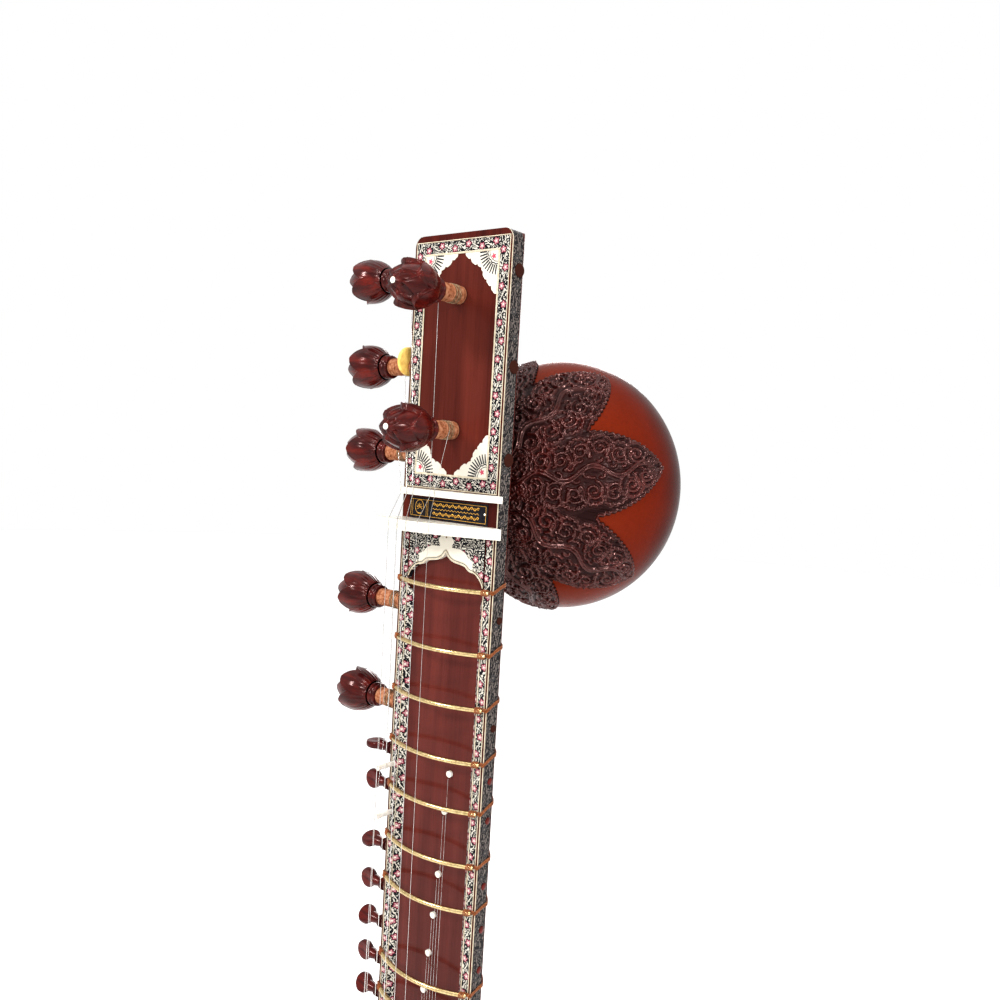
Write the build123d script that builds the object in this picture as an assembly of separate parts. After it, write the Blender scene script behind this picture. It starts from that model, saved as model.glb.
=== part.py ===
"""A full-size sitar with a screwed-on upper gourd, movable frets and turning pegs.

Millimetres. +Z runs up the neck, -Y is the playing side and +X is the player's
treble side. The origin is the lowest point of the main gourd. Each function
makes one kind of piece, and the last section writes one file per piece.
"""
import math
import os

from build123d import *

# ---- Driving dimensions -----------------------------------------------------
SCALE = 870.0            # nut to main bridge
NUT_Z = 1035.0           # reference line between the two bone plates
HEAD_RISE = 211.5        # nut to the top of the head
HEAD_Z = NUT_Z + HEAD_RISE
FACE_Y = -72.0           # top of the inlays on the playing side
INLAY = 0.6              # thickness of the celluloid inlays
WOOD_Y = FACE_Y + INLAY  # the wood surface under them

NECK_HALF = 47.0         # half width of the neck
BAND = 14.0              # depth of the flat side band
BAND_Y = FACE_Y + BAND   # where the rounded back begins
BACK_RISE = 24.0         # how far the round back bulges behind the band
BACK_R = (NECK_HALF ** 2 + BACK_RISE ** 2) / (2 * BACK_RISE)
BACK_Y = BAND_Y + BACK_RISE    # rearmost line of the neck
NECK_WALL = 9.0          # width of each rail
RAIL_INNER = NECK_HALF - NECK_WALL
CAVITY_HALF = 36.0       # hollow under the fingerboard
CAVITY_RISE = 18.0
HEAD_ROUND = 8.0         # rounded corners of the head
TOP_WALL = 8.0

GOURD_R = 175.0          # main gourd, round in the XZ plane
GOURD_DEPTH = 165.0      # half depth along Y
GOURD_WALL = 6.0
THROAT_START = 262.0     # plane where the throat meets the gourd
NECK_START = 385.0       # plane where the throat meets the neck
BOARD_START = 352.0      # lower end of the fingerboard
THROAT_SOLID = 345.0     # the throat is solid wood above this plane
THROAT_WALL = 8.0

DOME_RISE = 10.0         # arch of the soundboard
TABLE_T = 4.0            # soundboard thickness
EDGE_T = 2.0             # how far the arch stands above its seat at the rim

RECESS = 4.0             # fingerboard below the rails
BOARD_T = 2.4
PANEL_T = 2.5            # head panel

UPPER_R = 105.8          # upper gourd
UPPER_DEPTH = 95.0
UPPER_WALL = 4.0
UPPER_Y = FACE_Y + 143.4
UPPER_Z = NUT_Z + 24.8
UPPER_CENTRE = (0, UPPER_Y, UPPER_Z)
STUD_R = 5.0
LEAF_T = 3.0             # carved leaves stand this proud
LEAF_AZIMUTHS = [11.5, 59.0, 105.0, 150.0, 193.0, 236.0, 278.0, 320.7]
LEAF_TIP_R = 103.5       # seen from the front
LEAF_NOTCH_R = 80.0
RUN = 0.05               # radial running clearance of a shaft in its hole

PEG_Y = FACE_Y + 9.5     # axis of every side peg
PEG_R = 6.9              # thick part of a main peg's shaft
PEG_TIP_R = 5.0          # thin part, through the far wall
FRONT_PEG_STEP = 20.0    # depth at which a front peg's shaft gets thin
FRONT_PEG_DEPTH = 39.5   # its tip, just through the back
PEG_TIP_OUT = 1.5        # how far a side peg's tip stands out
HEAD_LENGTH = 46.0       # lotus head of a main peg
HEAD_R = 18.8
TARAB_R = 3.6
THIN_R = 2.8             # shafts that pass under the fingerboard

# Pegs in the left wall: height above the nut line, and where the head's shoulder stands.
SIDE_PEGS = {"side_peg_1": (182.2, -77.0), "side_peg_2": (113.5, -74.5), "side_peg_3": (46.2, -72.5)}
CHIKARI_PEGS = {"chikari_peg_1": (-71.5, -74.5), "chikari_peg_2": (-152.0, -70.0)}
FRONT_PEG_RISES = {"front_peg_1": 165.5, "front_peg_2": 65.7}

FRET_R = 1.8
FRET_RISE = 16.0         # top of a fret above the face
FRET_HALF = 45.0
TIE_GAP = 0.3            # between the thread and the neck
TIE_T = 0.9
TIE_WIDTH = 2.6
TUNED_DROPS = [50.4, 96.6, 137.0, 177.5, 214.4]    # first five frets, set by ear
SEMITONES = [6, 7, 9, 10, 11, 12, 13, 14, 16, 17, 18, 19, 21, 23]

# Bone plates: left end, middle and right end of the arched edge in X and Y, and their Z range.
GUIDE_POINTS = ((-50, FACE_Y - 6.5), (0, FACE_Y - 8.5), (53.5, FACE_Y - 2.5))
GUIDE_RANGE = (NUT_Z + 15.3, NUT_Z + 20.3)
NUT_POINTS = ((-57, FACE_Y - 23.5), (0, FACE_Y - 21.0), (54.5, FACE_Y - 3.5))
NUT_RANGE = (NUT_Z - 11, NUT_Z - 3)
FRAME_LOW = NUT_Z + 20.8      # outline of the inlaid frame round the head panel
FRAME_HIGH = NUT_Z + 206.8
WINDOW_LOW = NUT_Z + 31.8
WINDOW_HIGH = NUT_Z + 196.0
POST_X = -42.5                # posts of the two drone strings
POST_DROPS = (199.0, 238.0)

BRIDGE_Z = NUT_Z - SCALE
BRIDGE_Y = FACE_Y - 28.0      # where the strings cross the main bridge
TARAB_BRIDGE_Z = 225.0
TARAB_BRIDGE_Y = FACE_Y - 9.0
TAIL_Z = 10.0
STRING_TAIL_Y = FACE_Y - 1.5    # the strings end just above the tailpiece
STRING_TAIL_Z = TAIL_Z + 16

LOW_END = (Align.CENTER, Align.CENTER, Align.MIN)    # a cylinder drawn upwards from its plane

os.makedirs("parts", exist_ok=True)


def fret_drops():
    """Distance of each fret below the nut line."""
    equal = [SCALE * (1 - 2 ** (-k / 12)) for k in SEMITONES]
    return TUNED_DROPS + equal


def tarab_drops():
    """Sympathetic pegs stand between the frets, clear of the threads."""
    frets = fret_drops()
    middles = [(a + b) / 2 for a, b in zip(frets[6:], frets[7:])]
    return [192.0, 221.8, (frets[5] + frets[6]) / 2, frets[6] + 16, frets[7] - 16] + middles[1:6] + [middles[7]]


# ---- Shared shapes ----------------------------------------------------------
def spheroid(radius, depth, centre):
    """Round in XZ, flattened along Y."""
    half = Ellipse(radius, depth) & (Pos(radius, 0) * Rectangle(2 * radius, 4 * depth))
    return Pos(*centre) * revolve(half, Axis.Y)


def block(x, y, z):
    """Box from three (low, high) pairs."""
    middle = [(low + high) / 2 for low, high in (x, y, z)]
    size = [high - low for low, high in (x, y, z)]
    return Pos(*middle) * Box(*size)


def rod(axis_dir, centre, radius, start, end):
    """Cylinder along +X or +Y between two coordinates of that axis."""
    x, y, z = centre
    if axis_dir == "x":
        return Plane(origin=(start, y, z), z_dir=(1, 0, 0)) * Cylinder(radius, end - start, align=LOW_END)
    return Plane(origin=(x, start, z), z_dir=(0, 1, 0)) * Cylinder(radius, end - start, align=LOW_END)


def neck_section(half, front, rise):
    """D outline: flat front, straight bands, arc behind."""
    sides = Polyline((-half, BAND_Y), (-half, front), (half, front), (half, BAND_Y))
    back = ThreePointArc((half, BAND_Y), (0, BAND_Y + rise), (-half, BAND_Y))
    return make_face(sides.edges() + back.edges())


def prism(face, low, high):
    """Extrude an XY face between two heights."""
    return extrude(Pos(0, 0, low) * face, amount=high - low)


def front_prism(face, low, high):
    """Extrude a face drawn in X and Z between two Y planes."""
    plane = Plane(origin=(0, low, 0), x_dir=(-1, 0, 0), z_dir=(0, 1, 0))
    return extrude(plane * mirror(face, Plane.YZ), amount=high - low)


def ellipse_at(height):
    """Centre, half width and depth of the throat's cross-section."""
    rise = THROAT_START - GOURD_R
    ratio = math.sqrt(1 - (rise / GOURD_R) ** 2)
    run = NECK_START - THROAT_START
    t = (height - THROAT_START) / run
    from_start = 2 * t ** 3 - 3 * t ** 2 + 1
    slope = (t ** 3 - 2 * t ** 2 + t) * run * -rise / (GOURD_R * ratio)
    width = from_start * GOURD_R * ratio + slope + (1 - from_start) * BACK_R
    depth = (from_start * GOURD_R * ratio + slope) * GOURD_DEPTH / GOURD_R + (1 - from_start) * BACK_R
    return (1 - from_start) * (BACK_Y - BACK_R), width, depth


def throat_half_width(height):
    """Half width of the throat at its front plane."""
    centre, width, depth = ellipse_at(height)
    return width * math.sqrt(1 - ((BAND_Y - centre) / depth) ** 2)


def throat_section(height, inset, front):
    """Closed cross-section of the throat, cut off at a front plane."""
    centre, width, depth = ellipse_at(height)
    width -= inset
    depth -= inset
    low = math.degrees(math.asin((front - centre) / depth))
    arc = EllipticalCenterArc((0, centre), width, depth, low, arc_size=180 - 2 * low)
    face = make_face(arc.edges() + Line(arc @ 1, arc @ 0).edges())
    return Pos(0, 0, height) * face


# ---- Body -------------------------------------------------------------------
def make_main_gourd():
    centre = (0, 0, GOURD_R)
    outer = spheroid(GOURD_R, GOURD_DEPTH, centre)
    inner = spheroid(GOURD_R - GOURD_WALL, GOURD_DEPTH - GOURD_WALL, centre)
    keep = block((-200, 200), (BAND_Y, 200), (-10, THROAT_START))
    return (outer - inner) & keep


def make_throat():
    heights = [THROAT_START + i * (NECK_START - THROAT_START) / 6 for i in range(7)]
    outer = loft([throat_section(h, 0, BAND_Y) for h in heights])
    hollow_heights = [THROAT_START + i * (THROAT_SOLID - THROAT_START) / 4 for i in range(5)]
    hollow = loft([throat_section(h, THROAT_WALL, BAND_Y - 4) for h in hollow_heights])
    return outer - hollow


def make_soundboard():
    """Arched disc with a flat tongue over the throat."""
    centre_z = GOURD_R
    rim_r = GOURD_R * math.sqrt(1 - (BAND_Y / GOURD_DEPTH) ** 2)
    rim_top = BAND_Y - EDGE_T
    sphere_r = (rim_r ** 2 + DOME_RISE ** 2) / (2 * DOME_RISE)
    sphere_y = rim_top - DOME_RISE + sphere_r
    dome = Pos(0, sphere_y, centre_z) * Sphere(sphere_r)
    under = Pos(0, sphere_y, centre_z) * Sphere(sphere_r - TABLE_T)
    disc = rod("y", (0, 0, centre_z), rim_r, BAND_Y - 20, BAND_Y)
    shell = (dome - under) & disc
    heights = [THROAT_START + i * (BOARD_START - THROAT_START) / 5 for i in range(6)]
    right = Spline([(throat_half_width(h), h) for h in heights])
    left = Spline([(-throat_half_width(h), h) for h in heights])
    top = Line(left @ 1, right @ 1)
    bottom = Line(left @ 0, right @ 0)
    outline = make_face(right.edges() + top.edges() + left.edges() + bottom.edges())
    tongue = front_prism(outline, BAND_Y - TABLE_T, BAND_Y)
    tongue -= rod("y", (0, 0, centre_z), rim_r - 12, BAND_Y - 20, BAND_Y + 1)
    return shell + tongue


def make_throat_leaves():
    """Pointed carved leaves lying on the back of the main gourd."""
    centre = (0, 0, GOURD_R)
    outer = spheroid(GOURD_R + LEAF_T, GOURD_DEPTH + LEAF_T, centre)
    shell = outer - spheroid(GOURD_R + 0.05, GOURD_DEPTH + 0.05, centre)
    half = 41.0
    outline = [(-half, THROAT_START), (half, THROAT_START), (half + 3, 226), (0, 150), (-half - 3, 226)]
    leaves = None
    for azimuth in range(-75, 76, 30):
        out = (math.sin(math.radians(azimuth)), math.cos(math.radians(azimuth)), 0)
        plane = Plane(origin=(0, 0, 0), x_dir=(-out[1], out[0], 0), z_dir=out)
        leaf = extrude(plane * make_face(Polyline(*outline, close=True)), amount=GOURD_R + 20)
        piece = shell & leaf
        leaves = piece if leaves is None else leaves + piece
    return leaves & block((-200, 200), (BAND_Y + 2, 200), (100, THROAT_START))


# ---- Neck -------------------------------------------------------------------
def peg_holes():
    """Every hole that a peg turns in."""
    holes = []
    for rise, _ in SIDE_PEGS.values():
        holes.append(rod("x", (0, PEG_Y, NUT_Z + rise), PEG_R + RUN, -60, 0))
        holes.append(rod("x", (0, PEG_Y, NUT_Z + rise), PEG_TIP_R + RUN, 0, 60))
    for rise, _ in CHIKARI_PEGS.values():
        holes.append(rod("x", (0, PEG_Y, NUT_Z + rise), PEG_R + RUN, -60, 0))
        holes.append(rod("x", (0, PEG_Y, NUT_Z + rise), THIN_R + RUN, 0, 60))
    for drop in tarab_drops():
        holes.append(rod("x", (0, PEG_Y, NUT_Z - drop), TARAB_R + RUN, -60, 0))
        holes.append(rod("x", (0, PEG_Y, NUT_Z - drop), THIN_R + RUN, 0, 60))
    return holes


def make_neck():
    shape = prism(neck_section(NECK_HALF, WOOD_Y, BACK_RISE), NECK_START, HEAD_Z)
    shape += block((-NECK_HALF, NECK_HALF), (WOOD_Y, BAND_Y), (BOARD_START, NECK_START))
    outline = block((-NECK_HALF, NECK_HALF), (-100, 0), (0, HEAD_Z))
    outline = fillet(outline.edges().filter_by(Axis.Y).group_by(Axis.Z)[-1], HEAD_ROUND)
    shape &= outline
    low = BOARD_START + 8
    high = HEAD_Z - TOP_WALL
    split = NUT_Z - 11
    cavity = neck_section(CAVITY_HALF, BAND_Y - 5, CAVITY_RISE)
    shape -= prism(cavity, low, high)
    board_seat = FACE_Y + RECESS + BOARD_T
    panel_seat = WOOD_Y + PANEL_T
    shape -= block((-RAIL_INNER, RAIL_INNER), (-90, board_seat), (BOARD_START, split))
    shape -= block((-CAVITY_HALF, CAVITY_HALF), (-90, BAND_Y - 4), (low, split))
    shape -= block((-RAIL_INNER, RAIL_INNER), (-90, panel_seat), (split, high))
    shape -= block((-CAVITY_HALF, CAVITY_HALF), (-90, BAND_Y - 4), (split, high))
    core = prism(neck_section(CAVITY_HALF + 1, panel_seat, CAVITY_RISE + 1), 0, HEAD_Z)
    for rise in FRONT_PEG_RISES.values():
        middle = NUT_Z + rise
        shape += core & block((-60, 60), (-90, 0), (middle - 10.5, middle + 10.5))
    for rise in FRONT_PEG_RISES.values():
        shape -= rod("y", (0, 0, NUT_Z + rise), PEG_R + RUN, -80, FACE_Y + FRONT_PEG_STEP)
        shape -= rod("y", (0, 0, NUT_Z + rise), PEG_TIP_R + RUN, -80, 0)
    shape -= rod("y", (0, 0, UPPER_Z), STUD_R + RUN, -45, 0)
    for hole in peg_holes():
        shape -= hole
    return shape


def make_fingerboard():
    top = FACE_Y + RECESS
    return block((-RAIL_INNER, RAIL_INNER), (top, top + BOARD_T), (BOARD_START, NUT_Z - 11))


def make_head_panel():
    panel = block((-RAIL_INNER, RAIL_INNER), (WOOD_Y, WOOD_Y + PANEL_T), (NUT_Z - 11, HEAD_Z - TOP_WALL))
    for rise in FRONT_PEG_RISES.values():
        panel -= rod("y", (0, 0, NUT_Z + rise), PEG_R + RUN, -80, -60)
    return panel


def arch_outline():
    """Ogee arch: a point, two lobes and two feet, drawn in X and Z."""
    tip = (0, NUT_Z - 25.9)
    lobe = (22.5, NUT_Z - 36.5)
    foot = (37.0, NUT_Z - 50.0)
    right = [ThreePointArc(tip, (8.5, NUT_Z - 31.6), lobe), ThreePointArc(lobe, (31.5, NUT_Z - 41.5), foot)]
    left = [mirror(edge, Plane.YZ) for edge in right]
    base = Polyline(foot, (foot[0], NUT_Z - 60), (-foot[0], NUT_Z - 60), (-foot[0], foot[1]))
    edges = base.edges()
    for edge in right + left:
        edges += edge.edges()
    return make_face(edges)


def make_arch_panel():
    top = NUT_Z - 11
    panel = block((-RAIL_INNER, RAIL_INNER), (FACE_Y, FACE_Y + RECESS), (NUT_Z - 50, top))
    return panel - front_prism(arch_outline(), FACE_Y - 1, FACE_Y + RECESS + 1)


def make_face_inlays():
    """Rail strips, the arch panel, and the frame round the head panel."""
    outer = NECK_HALF - 1.5
    pieces = []
    for side in (-1, 1):
        low_x, high_x = sorted((side * RAIL_INNER, side * outer))
        pieces.append(block((low_x, high_x), (FACE_Y, WOOD_Y), (BOARD_START + 4, NUT_Z - 11)))
    frame = Pos(0, (FRAME_HIGH + FRAME_LOW) / 2) * Rectangle(2 * outer, FRAME_HIGH - FRAME_LOW)
    window = Pos(0, (WINDOW_HIGH + WINDOW_LOW) / 2) * Rectangle(70, WINDOW_HIGH - WINDOW_LOW)
    window = chamfer(window.vertices(), 18)
    pieces.append(front_prism(frame - window, FACE_Y, WOOD_Y))
    pieces.append(make_arch_panel())
    return pieces


def make_label_plate():
    return block((-39.5, 38.5), (WOOD_Y - 0.8, WOOD_Y), (NUT_Z - 2.5, NUT_Z + 13.3))


def plate_outline(left, middle, right, foot):
    """Bone plate in X and Y: arched top, foot as wide as the neck, overhanging left end."""
    top = ThreePointArc(right, middle, left)
    rest = Polyline(left, (left[0], left[1] + foot), (-NECK_HALF, WOOD_Y - 3), (-NECK_HALF, WOOD_Y),
                    (NECK_HALF, WOOD_Y), right)
    return make_face(top.edges() + rest.edges())


def make_string_guide():
    return prism(plate_outline(*GUIDE_POINTS, 3.5), *GUIDE_RANGE)


def make_nut_plate():
    return prism(plate_outline(*NUT_POINTS, 8), *NUT_RANGE)


def arch_height(points, x):
    """Y of the arc through three points, at x."""
    (x1, y1), (x2, y2), (x3, y3) = points
    a = x1 * (y2 - y3) - y1 * (x2 - x3) + x2 * y3 - x3 * y2
    q1, q2, q3 = x1 ** 2 + y1 ** 2, x2 ** 2 + y2 ** 2, x3 ** 2 + y3 ** 2
    cx = (q1 * (y2 - y3) + q2 * (y3 - y1) + q3 * (y1 - y2)) / (2 * a)
    cy = (q1 * (x3 - x2) + q2 * (x1 - x3) + q3 * (x2 - x1)) / (2 * a)
    radius = math.hypot(x1 - cx, y1 - cy)
    return cy - math.sqrt(radius ** 2 - (x - cx) ** 2)


def make_gourd_boss():
    """Wooden boss on the neck's back that the upper gourd screws into."""
    boss = rod("y", (0, 0, UPPER_Z), 13, BACK_Y - 5, FACE_Y + 45.8)
    boss -= prism(neck_section(NECK_HALF, WOOD_Y, BACK_RISE), 900, 1200)
    return boss - rod("y", (0, 0, UPPER_Z), STUD_R + RUN, -45, 0)


# ---- Upper gourd ------------------------------------------------------------
def gourd_arc(inset):
    """Half outline of the upper gourd from the stud's hole to the far pole."""
    radius = UPPER_R - inset
    depth = UPPER_DEPTH - inset
    start = math.acos(STUD_R / radius)
    angles = [-start + i * (start + math.pi / 2) / 10 for i in range(10)]
    points = [(radius * math.cos(a), depth * math.sin(a)) for a in angles]
    leaving = (radius * math.sin(start), depth * math.cos(start))
    return Spline(points + [(0, depth)], tangents=[leaving, (-1, 0)])


def make_upper_gourd():
    """Closed shell turned about Y, with the stud's hole in front."""
    outer = gourd_arc(0)
    inner = gourd_arc(UPPER_WALL)
    ends = Line(outer @ 1, inner @ 1).edges() + Line(inner @ 0, outer @ 0).edges()
    profile = make_face(outer.edges() + inner.edges() + ends)
    return Pos(*UPPER_CENTRE) * revolve(profile, Axis.Y)


def make_upper_leaves():
    """Star of eight pointed leaves lying on the front of the upper gourd."""
    outer = spheroid(UPPER_R + LEAF_T, UPPER_DEPTH + LEAF_T, UPPER_CENTRE)
    shell = outer - spheroid(UPPER_R + 0.05, UPPER_DEPTH + 0.05, UPPER_CENTRE)
    points = []
    for azimuth in LEAF_AZIMUTHS:
        points.append((azimuth, LEAF_TIP_R))
    for first, second in zip(LEAF_AZIMUTHS, LEAF_AZIMUTHS[1:] + [LEAF_AZIMUTHS[0] + 360]):
        points.append(((first + second) / 2, LEAF_NOTCH_R))
    points.sort()
    star = [(r * math.cos(math.radians(a)), UPPER_Z + r * math.sin(math.radians(a))) for a, r in points]
    prism_shape = front_prism(make_face(Polyline(*star, close=True)), -60, UPPER_Y)
    return (shell & prism_shape) - rod("y", UPPER_CENTRE, 15, -60, UPPER_Y)


def make_upper_stud():
    """Wooden collar and screw stud fixed in the upper gourd."""
    collar = rod("y", UPPER_CENTRE, 14, FACE_Y + 46.1, FACE_Y + 52)
    collar -= spheroid(UPPER_R + 0.02, UPPER_DEPTH + 0.02, UPPER_CENTRE)
    return collar + rod("y", UPPER_CENTRE, STUD_R, FACE_Y + 31, FACE_Y + 56)


# ---- Pegs -------------------------------------------------------------------
def peg_profile(tip, thin_r, step, thick_r, shoulder):
    """Half outline of a lotus peg, along +X from the head's end to the tip."""
    end = shoulder - HEAD_LENGTH
    bud = Spline((end, 0), (end + 3, HEAD_R * 0.55), (end + 12, HEAD_R * 0.93), (end + 23, HEAD_R),
                 (end + 35, HEAD_R * 0.72), (end + 40, 9.5), tangents=((0, 1), (0.3, -1)))
    rest = Polyline((end + 40, 9.5), (shoulder, 9.5), (shoulder, thick_r), (step, thick_r),
                    (step, thin_r), (tip, thin_r), (tip, 0), (end, 0))
    return make_face(bud.edges() + rest.edges())


def make_side_peg(height, shoulder, thin_r):
    body = revolve(peg_profile(NECK_HALF + PEG_TIP_OUT, thin_r, -RAIL_INNER - 0.3, PEG_R, shoulder), Axis.X)
    return Pos(0, PEG_Y, height) * body


def make_front_peg(height):
    """The same peg, standing out of the head panel along -Y."""
    face = peg_profile(FRONT_PEG_DEPTH, PEG_TIP_R, FRONT_PEG_STEP - 0.3, PEG_R, -24)
    body = revolve(face, Axis.X)
    return Pos(0, FACE_Y, height) * Rot(0, 0, 90) * body


def tarab_turn(number):
    """Every second thumb-piece faces the player; the others are turned aside."""
    return 90 if number % 2 == 0 else 11 * (number - 1)


def make_tarab_peg(height, turn):
    """Turned neck and a flat round thumb-piece."""
    left = -NECK_HALF - 7
    tip = NECK_HALF + 1
    outline = [(tip, 0), (tip, THIN_R), (-RAIL_INNER - 0.3, THIN_R), (-RAIL_INNER - 0.3, TARAB_R),
               (left, TARAB_R), (left, 5.0), (left - 3, 5.0), (left - 5, 3.4), (left - 12, 4.6), (left - 13, 0)]
    body = revolve(make_face(Polyline(*outline, close=True)), Axis.X)
    thumb = Pos(left - 19, 0, 0) * Cylinder(8.0, 6.5)
    return Pos(0, PEG_Y, height) * Rot(turn, 0, 0) * (body + thumb)


# ---- Frets ------------------------------------------------------------------
def make_fret(height):
    """Arched brass rod with the thread that ties it round the neck."""
    end_y = FACE_Y - FRET_R - 0.1
    top_y = FACE_Y - FRET_RISE + FRET_R
    path = Pos(0, 0, height) * ThreePointArc((-FRET_HALF, end_y), (0, top_y), (FRET_HALF, end_y))
    fret = sweep(Plane(origin=path @ 0, z_dir=path % 0) * Circle(FRET_R), path)
    front = FACE_Y - TIE_GAP
    tie = neck_section(NECK_HALF + TIE_GAP + TIE_T, front - TIE_T, BACK_RISE + TIE_GAP + TIE_T)
    tie -= neck_section(NECK_HALF + TIE_GAP, front, BACK_RISE + TIE_GAP)
    tie -= Pos(0, FACE_Y) * Rectangle(2 * FRET_HALF - 2, 8)
    return fret + prism(tie, height - TIE_WIDTH / 2, height + TIE_WIDTH / 2)


# ---- Bridges, tailpiece and bone fittings -----------------------------------
def dome_solid():
    """Everything under the soundboard's surface, with a little clearance."""
    rim_r = GOURD_R * math.sqrt(1 - (BAND_Y / GOURD_DEPTH) ** 2)
    sphere_r = (rim_r ** 2 + DOME_RISE ** 2) / (2 * DOME_RISE)
    return Pos(0, BAND_Y - EDGE_T - DOME_RISE + sphere_r, GOURD_R) * Sphere(sphere_r + 0.03)


def make_bridge_base():
    """Wooden stand with two legs; the sympathetic strings pass between them."""
    top = BRIDGE_Y + 7
    base = block((-42, 34), (top, FACE_Y + 6), (BRIDGE_Z - 14, BRIDGE_Z + 14))
    base -= block((-27, 21), (BRIDGE_Y + 13, FACE_Y + 8), (BRIDGE_Z - 20, BRIDGE_Z + 20))
    return base - dome_solid()


def make_bridge_plate():
    """Broad bone plate, slightly domed along the strings."""
    section = make_face(Polyline((-16, 7), (16, 7), (16, 2)).edges() + ThreePointArc((16, 2), (0, 0), (-16, 2)).edges()
                        + Line((-16, 2), (-16, 7)).edges())
    plane = Plane(origin=(-46, BRIDGE_Y, BRIDGE_Z), x_dir=(0, 0, 1), z_dir=(1, 0, 0))
    return extrude(plane * mirror(section, Plane.XZ), amount=84)


def make_tarab_bridge():
    low, high = TARAB_BRIDGE_Z - 6, TARAB_BRIDGE_Z + 6
    bridge = block((-30, 30), (TARAB_BRIDGE_Y, FACE_Y + 8), (low, high))
    return bridge - dome_solid()


def make_tailpiece():
    """Tapered anchor that hooks over the soundboard's lower edge, with a row of pins."""
    outline = make_face(Polyline((-24, 38), (24, 38), (14, 3), (-14, 3), close=True))
    body = front_prism(outline, FACE_Y + 4, -34)
    rim_r = GOURD_R * math.sqrt(1 - (BAND_Y / GOURD_DEPTH) ** 2)
    body -= rod("y", (0, 0, GOURD_R), rim_r + 0.1, BAND_Y - 12.1, BAND_Y)
    body -= spheroid(GOURD_R + 0.05, GOURD_DEPTH + 0.05, (0, 0, GOURD_R))
    for number in range(7):
        body += rod("y", (3.6 * (number - 3), 0, TAIL_Z - 4), 1.2, FACE_Y, FACE_Y + 5)
    return body


def make_bone_fittings():
    """Two posts for the drone strings and an eyelet for each sympathetic string."""
    pieces = [rod("y", (POST_X, 0, NUT_Z - drop), 2.0, FACE_Y - 18, FACE_Y) for drop in POST_DROPS]
    for number, drop in enumerate(tarab_drops()):
        top = FACE_Y + RECESS
        pieces.append(rod("y", (eyelet_x(number), 0, NUT_Z - drop - 1.7), 2.5, top - 2, top))
    return pieces




def eyelet_x(number):
    return 13.2 - 2.9 * number


# ---- Strings ----------------------------------------------------------------
def wire(points, radius):
    """Taut wire through points, mitred where it bends."""
    path = Polyline(*points)
    start = Plane(origin=path @ 0, z_dir=path % 0)
    return sweep(start * Circle(radius), path, transition=Transition.RIGHT)


def over_plate(points, x, high, low, lift):
    """Two points where a string crosses the edges of a bone plate."""
    y = arch_height(points, x) - lift
    return [(x, y, high), (x, y, low)]


def over_bridge(x, lift):
    """Two points on the main bridge's domed plate."""
    return [(x, BRIDGE_Y + 2 * (s / 16) ** 2 - lift - 0.3, BRIDGE_Z - s) for s in (0, 11.5)]


def make_main_strings():
    """Five playing strings and two drones, from peg to nut, bridge and tailpiece."""
    radii = (0.15, 0.2, 0.25, 0.3, 0.2)
    rises = [FRONT_PEG_RISES["front_peg_2"], FRONT_PEG_RISES["front_peg_1"]] + [rise for rise, _ in SIDE_PEGS.values()]
    off_shaft = PEG_R + 1.0
    starts = [(off_shaft, FACE_Y - 12, NUT_Z + rises[0]), (-off_shaft, FACE_Y - 14, NUT_Z + rises[1])]
    starts += [(-52.0 - 2 * i, PEG_Y - off_shaft, NUT_Z + rises[2 + i]) for i in range(3)]
    guide_x = (-6.5, -11.0, -29.0, -36.0, -43.0)
    nut_x = (0.5, -9.5, -20.0, -28.5, -37.3)
    strings = []
    for i, radius in enumerate(radii):
        lift = radius + 0.15
        bridge_x = 11.0 - 10 * i
        route = [starts[i]] + over_plate(GUIDE_POINTS, guide_x[i], GUIDE_RANGE[1] + 0.2, GUIDE_RANGE[0] - 0.2, lift)
        route += over_plate(NUT_POINTS, nut_x[i], NUT_RANGE[1] + 0.2, NUT_RANGE[0] - 0.2, lift)
        route += over_bridge(bridge_x, lift)
        route.append((bridge_x * 0.3, STRING_TAIL_Y, STRING_TAIL_Z))
        strings.append(wire(route, radius))
    for number, (rise, _) in enumerate(CHIKARI_PEGS.values()):
        start = (-54.0, PEG_Y - off_shaft, NUT_Z + rise)
        post = (POST_X, FACE_Y - 18.8, NUT_Z - POST_DROPS[number])
        route = [start, post] + over_bridge(-36.5 - 3.5 * number, 0.3)
        strings.append(wire(route + [(-11.0 - number, STRING_TAIL_Y, STRING_TAIL_Z)], 0.15))
    return strings


def make_tarab_strings():
    """Sympathetic strings from the eyelets over the small bridge to the tailpiece."""
    strings = []
    for number, drop in enumerate(tarab_drops()):
        start = (eyelet_x(number), FACE_Y + RECESS - 2.4, NUT_Z - drop - 5)
        x = 20 - 4 * number
        y = TARAB_BRIDGE_Y - 0.3
        crossing = [(x, y, TARAB_BRIDGE_Z + 6.2), (x, y, TARAB_BRIDGE_Z - 6.2)]
        tail = (8 - 1.6 * number, STRING_TAIL_Y + 1.2, STRING_TAIL_Z)
        strings.append(wire([start] + crossing + [tail], 0.12))
    return strings


def make_tuning_bead():
    """Bead that slides on the first string between bridge and tailpiece."""
    high = (11.0, BRIDGE_Y + 2 * (11.5 / 16) ** 2 - 0.6, BRIDGE_Z - 11.5)
    low = (3.3, STRING_TAIL_Y, STRING_TAIL_Z)
    along = [a - b for a, b in zip(high, low)]
    middle = [b + 0.45 * d for b, d in zip(low, along)]
    plane = Plane(origin=middle, z_dir=along)
    return plane * (Sphere(4.5) - Cylinder(0.45, 12))


# ---- Write every piece ------------------------------------------------------
def write(name, shape):
    """One file per node; lists become a group of separate solids."""
    if isinstance(shape, (list, tuple)):
        shape = Compound(children=[s for piece in shape for s in piece.solids()])
    export_step(shape, f"parts/{name}.step")


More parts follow.
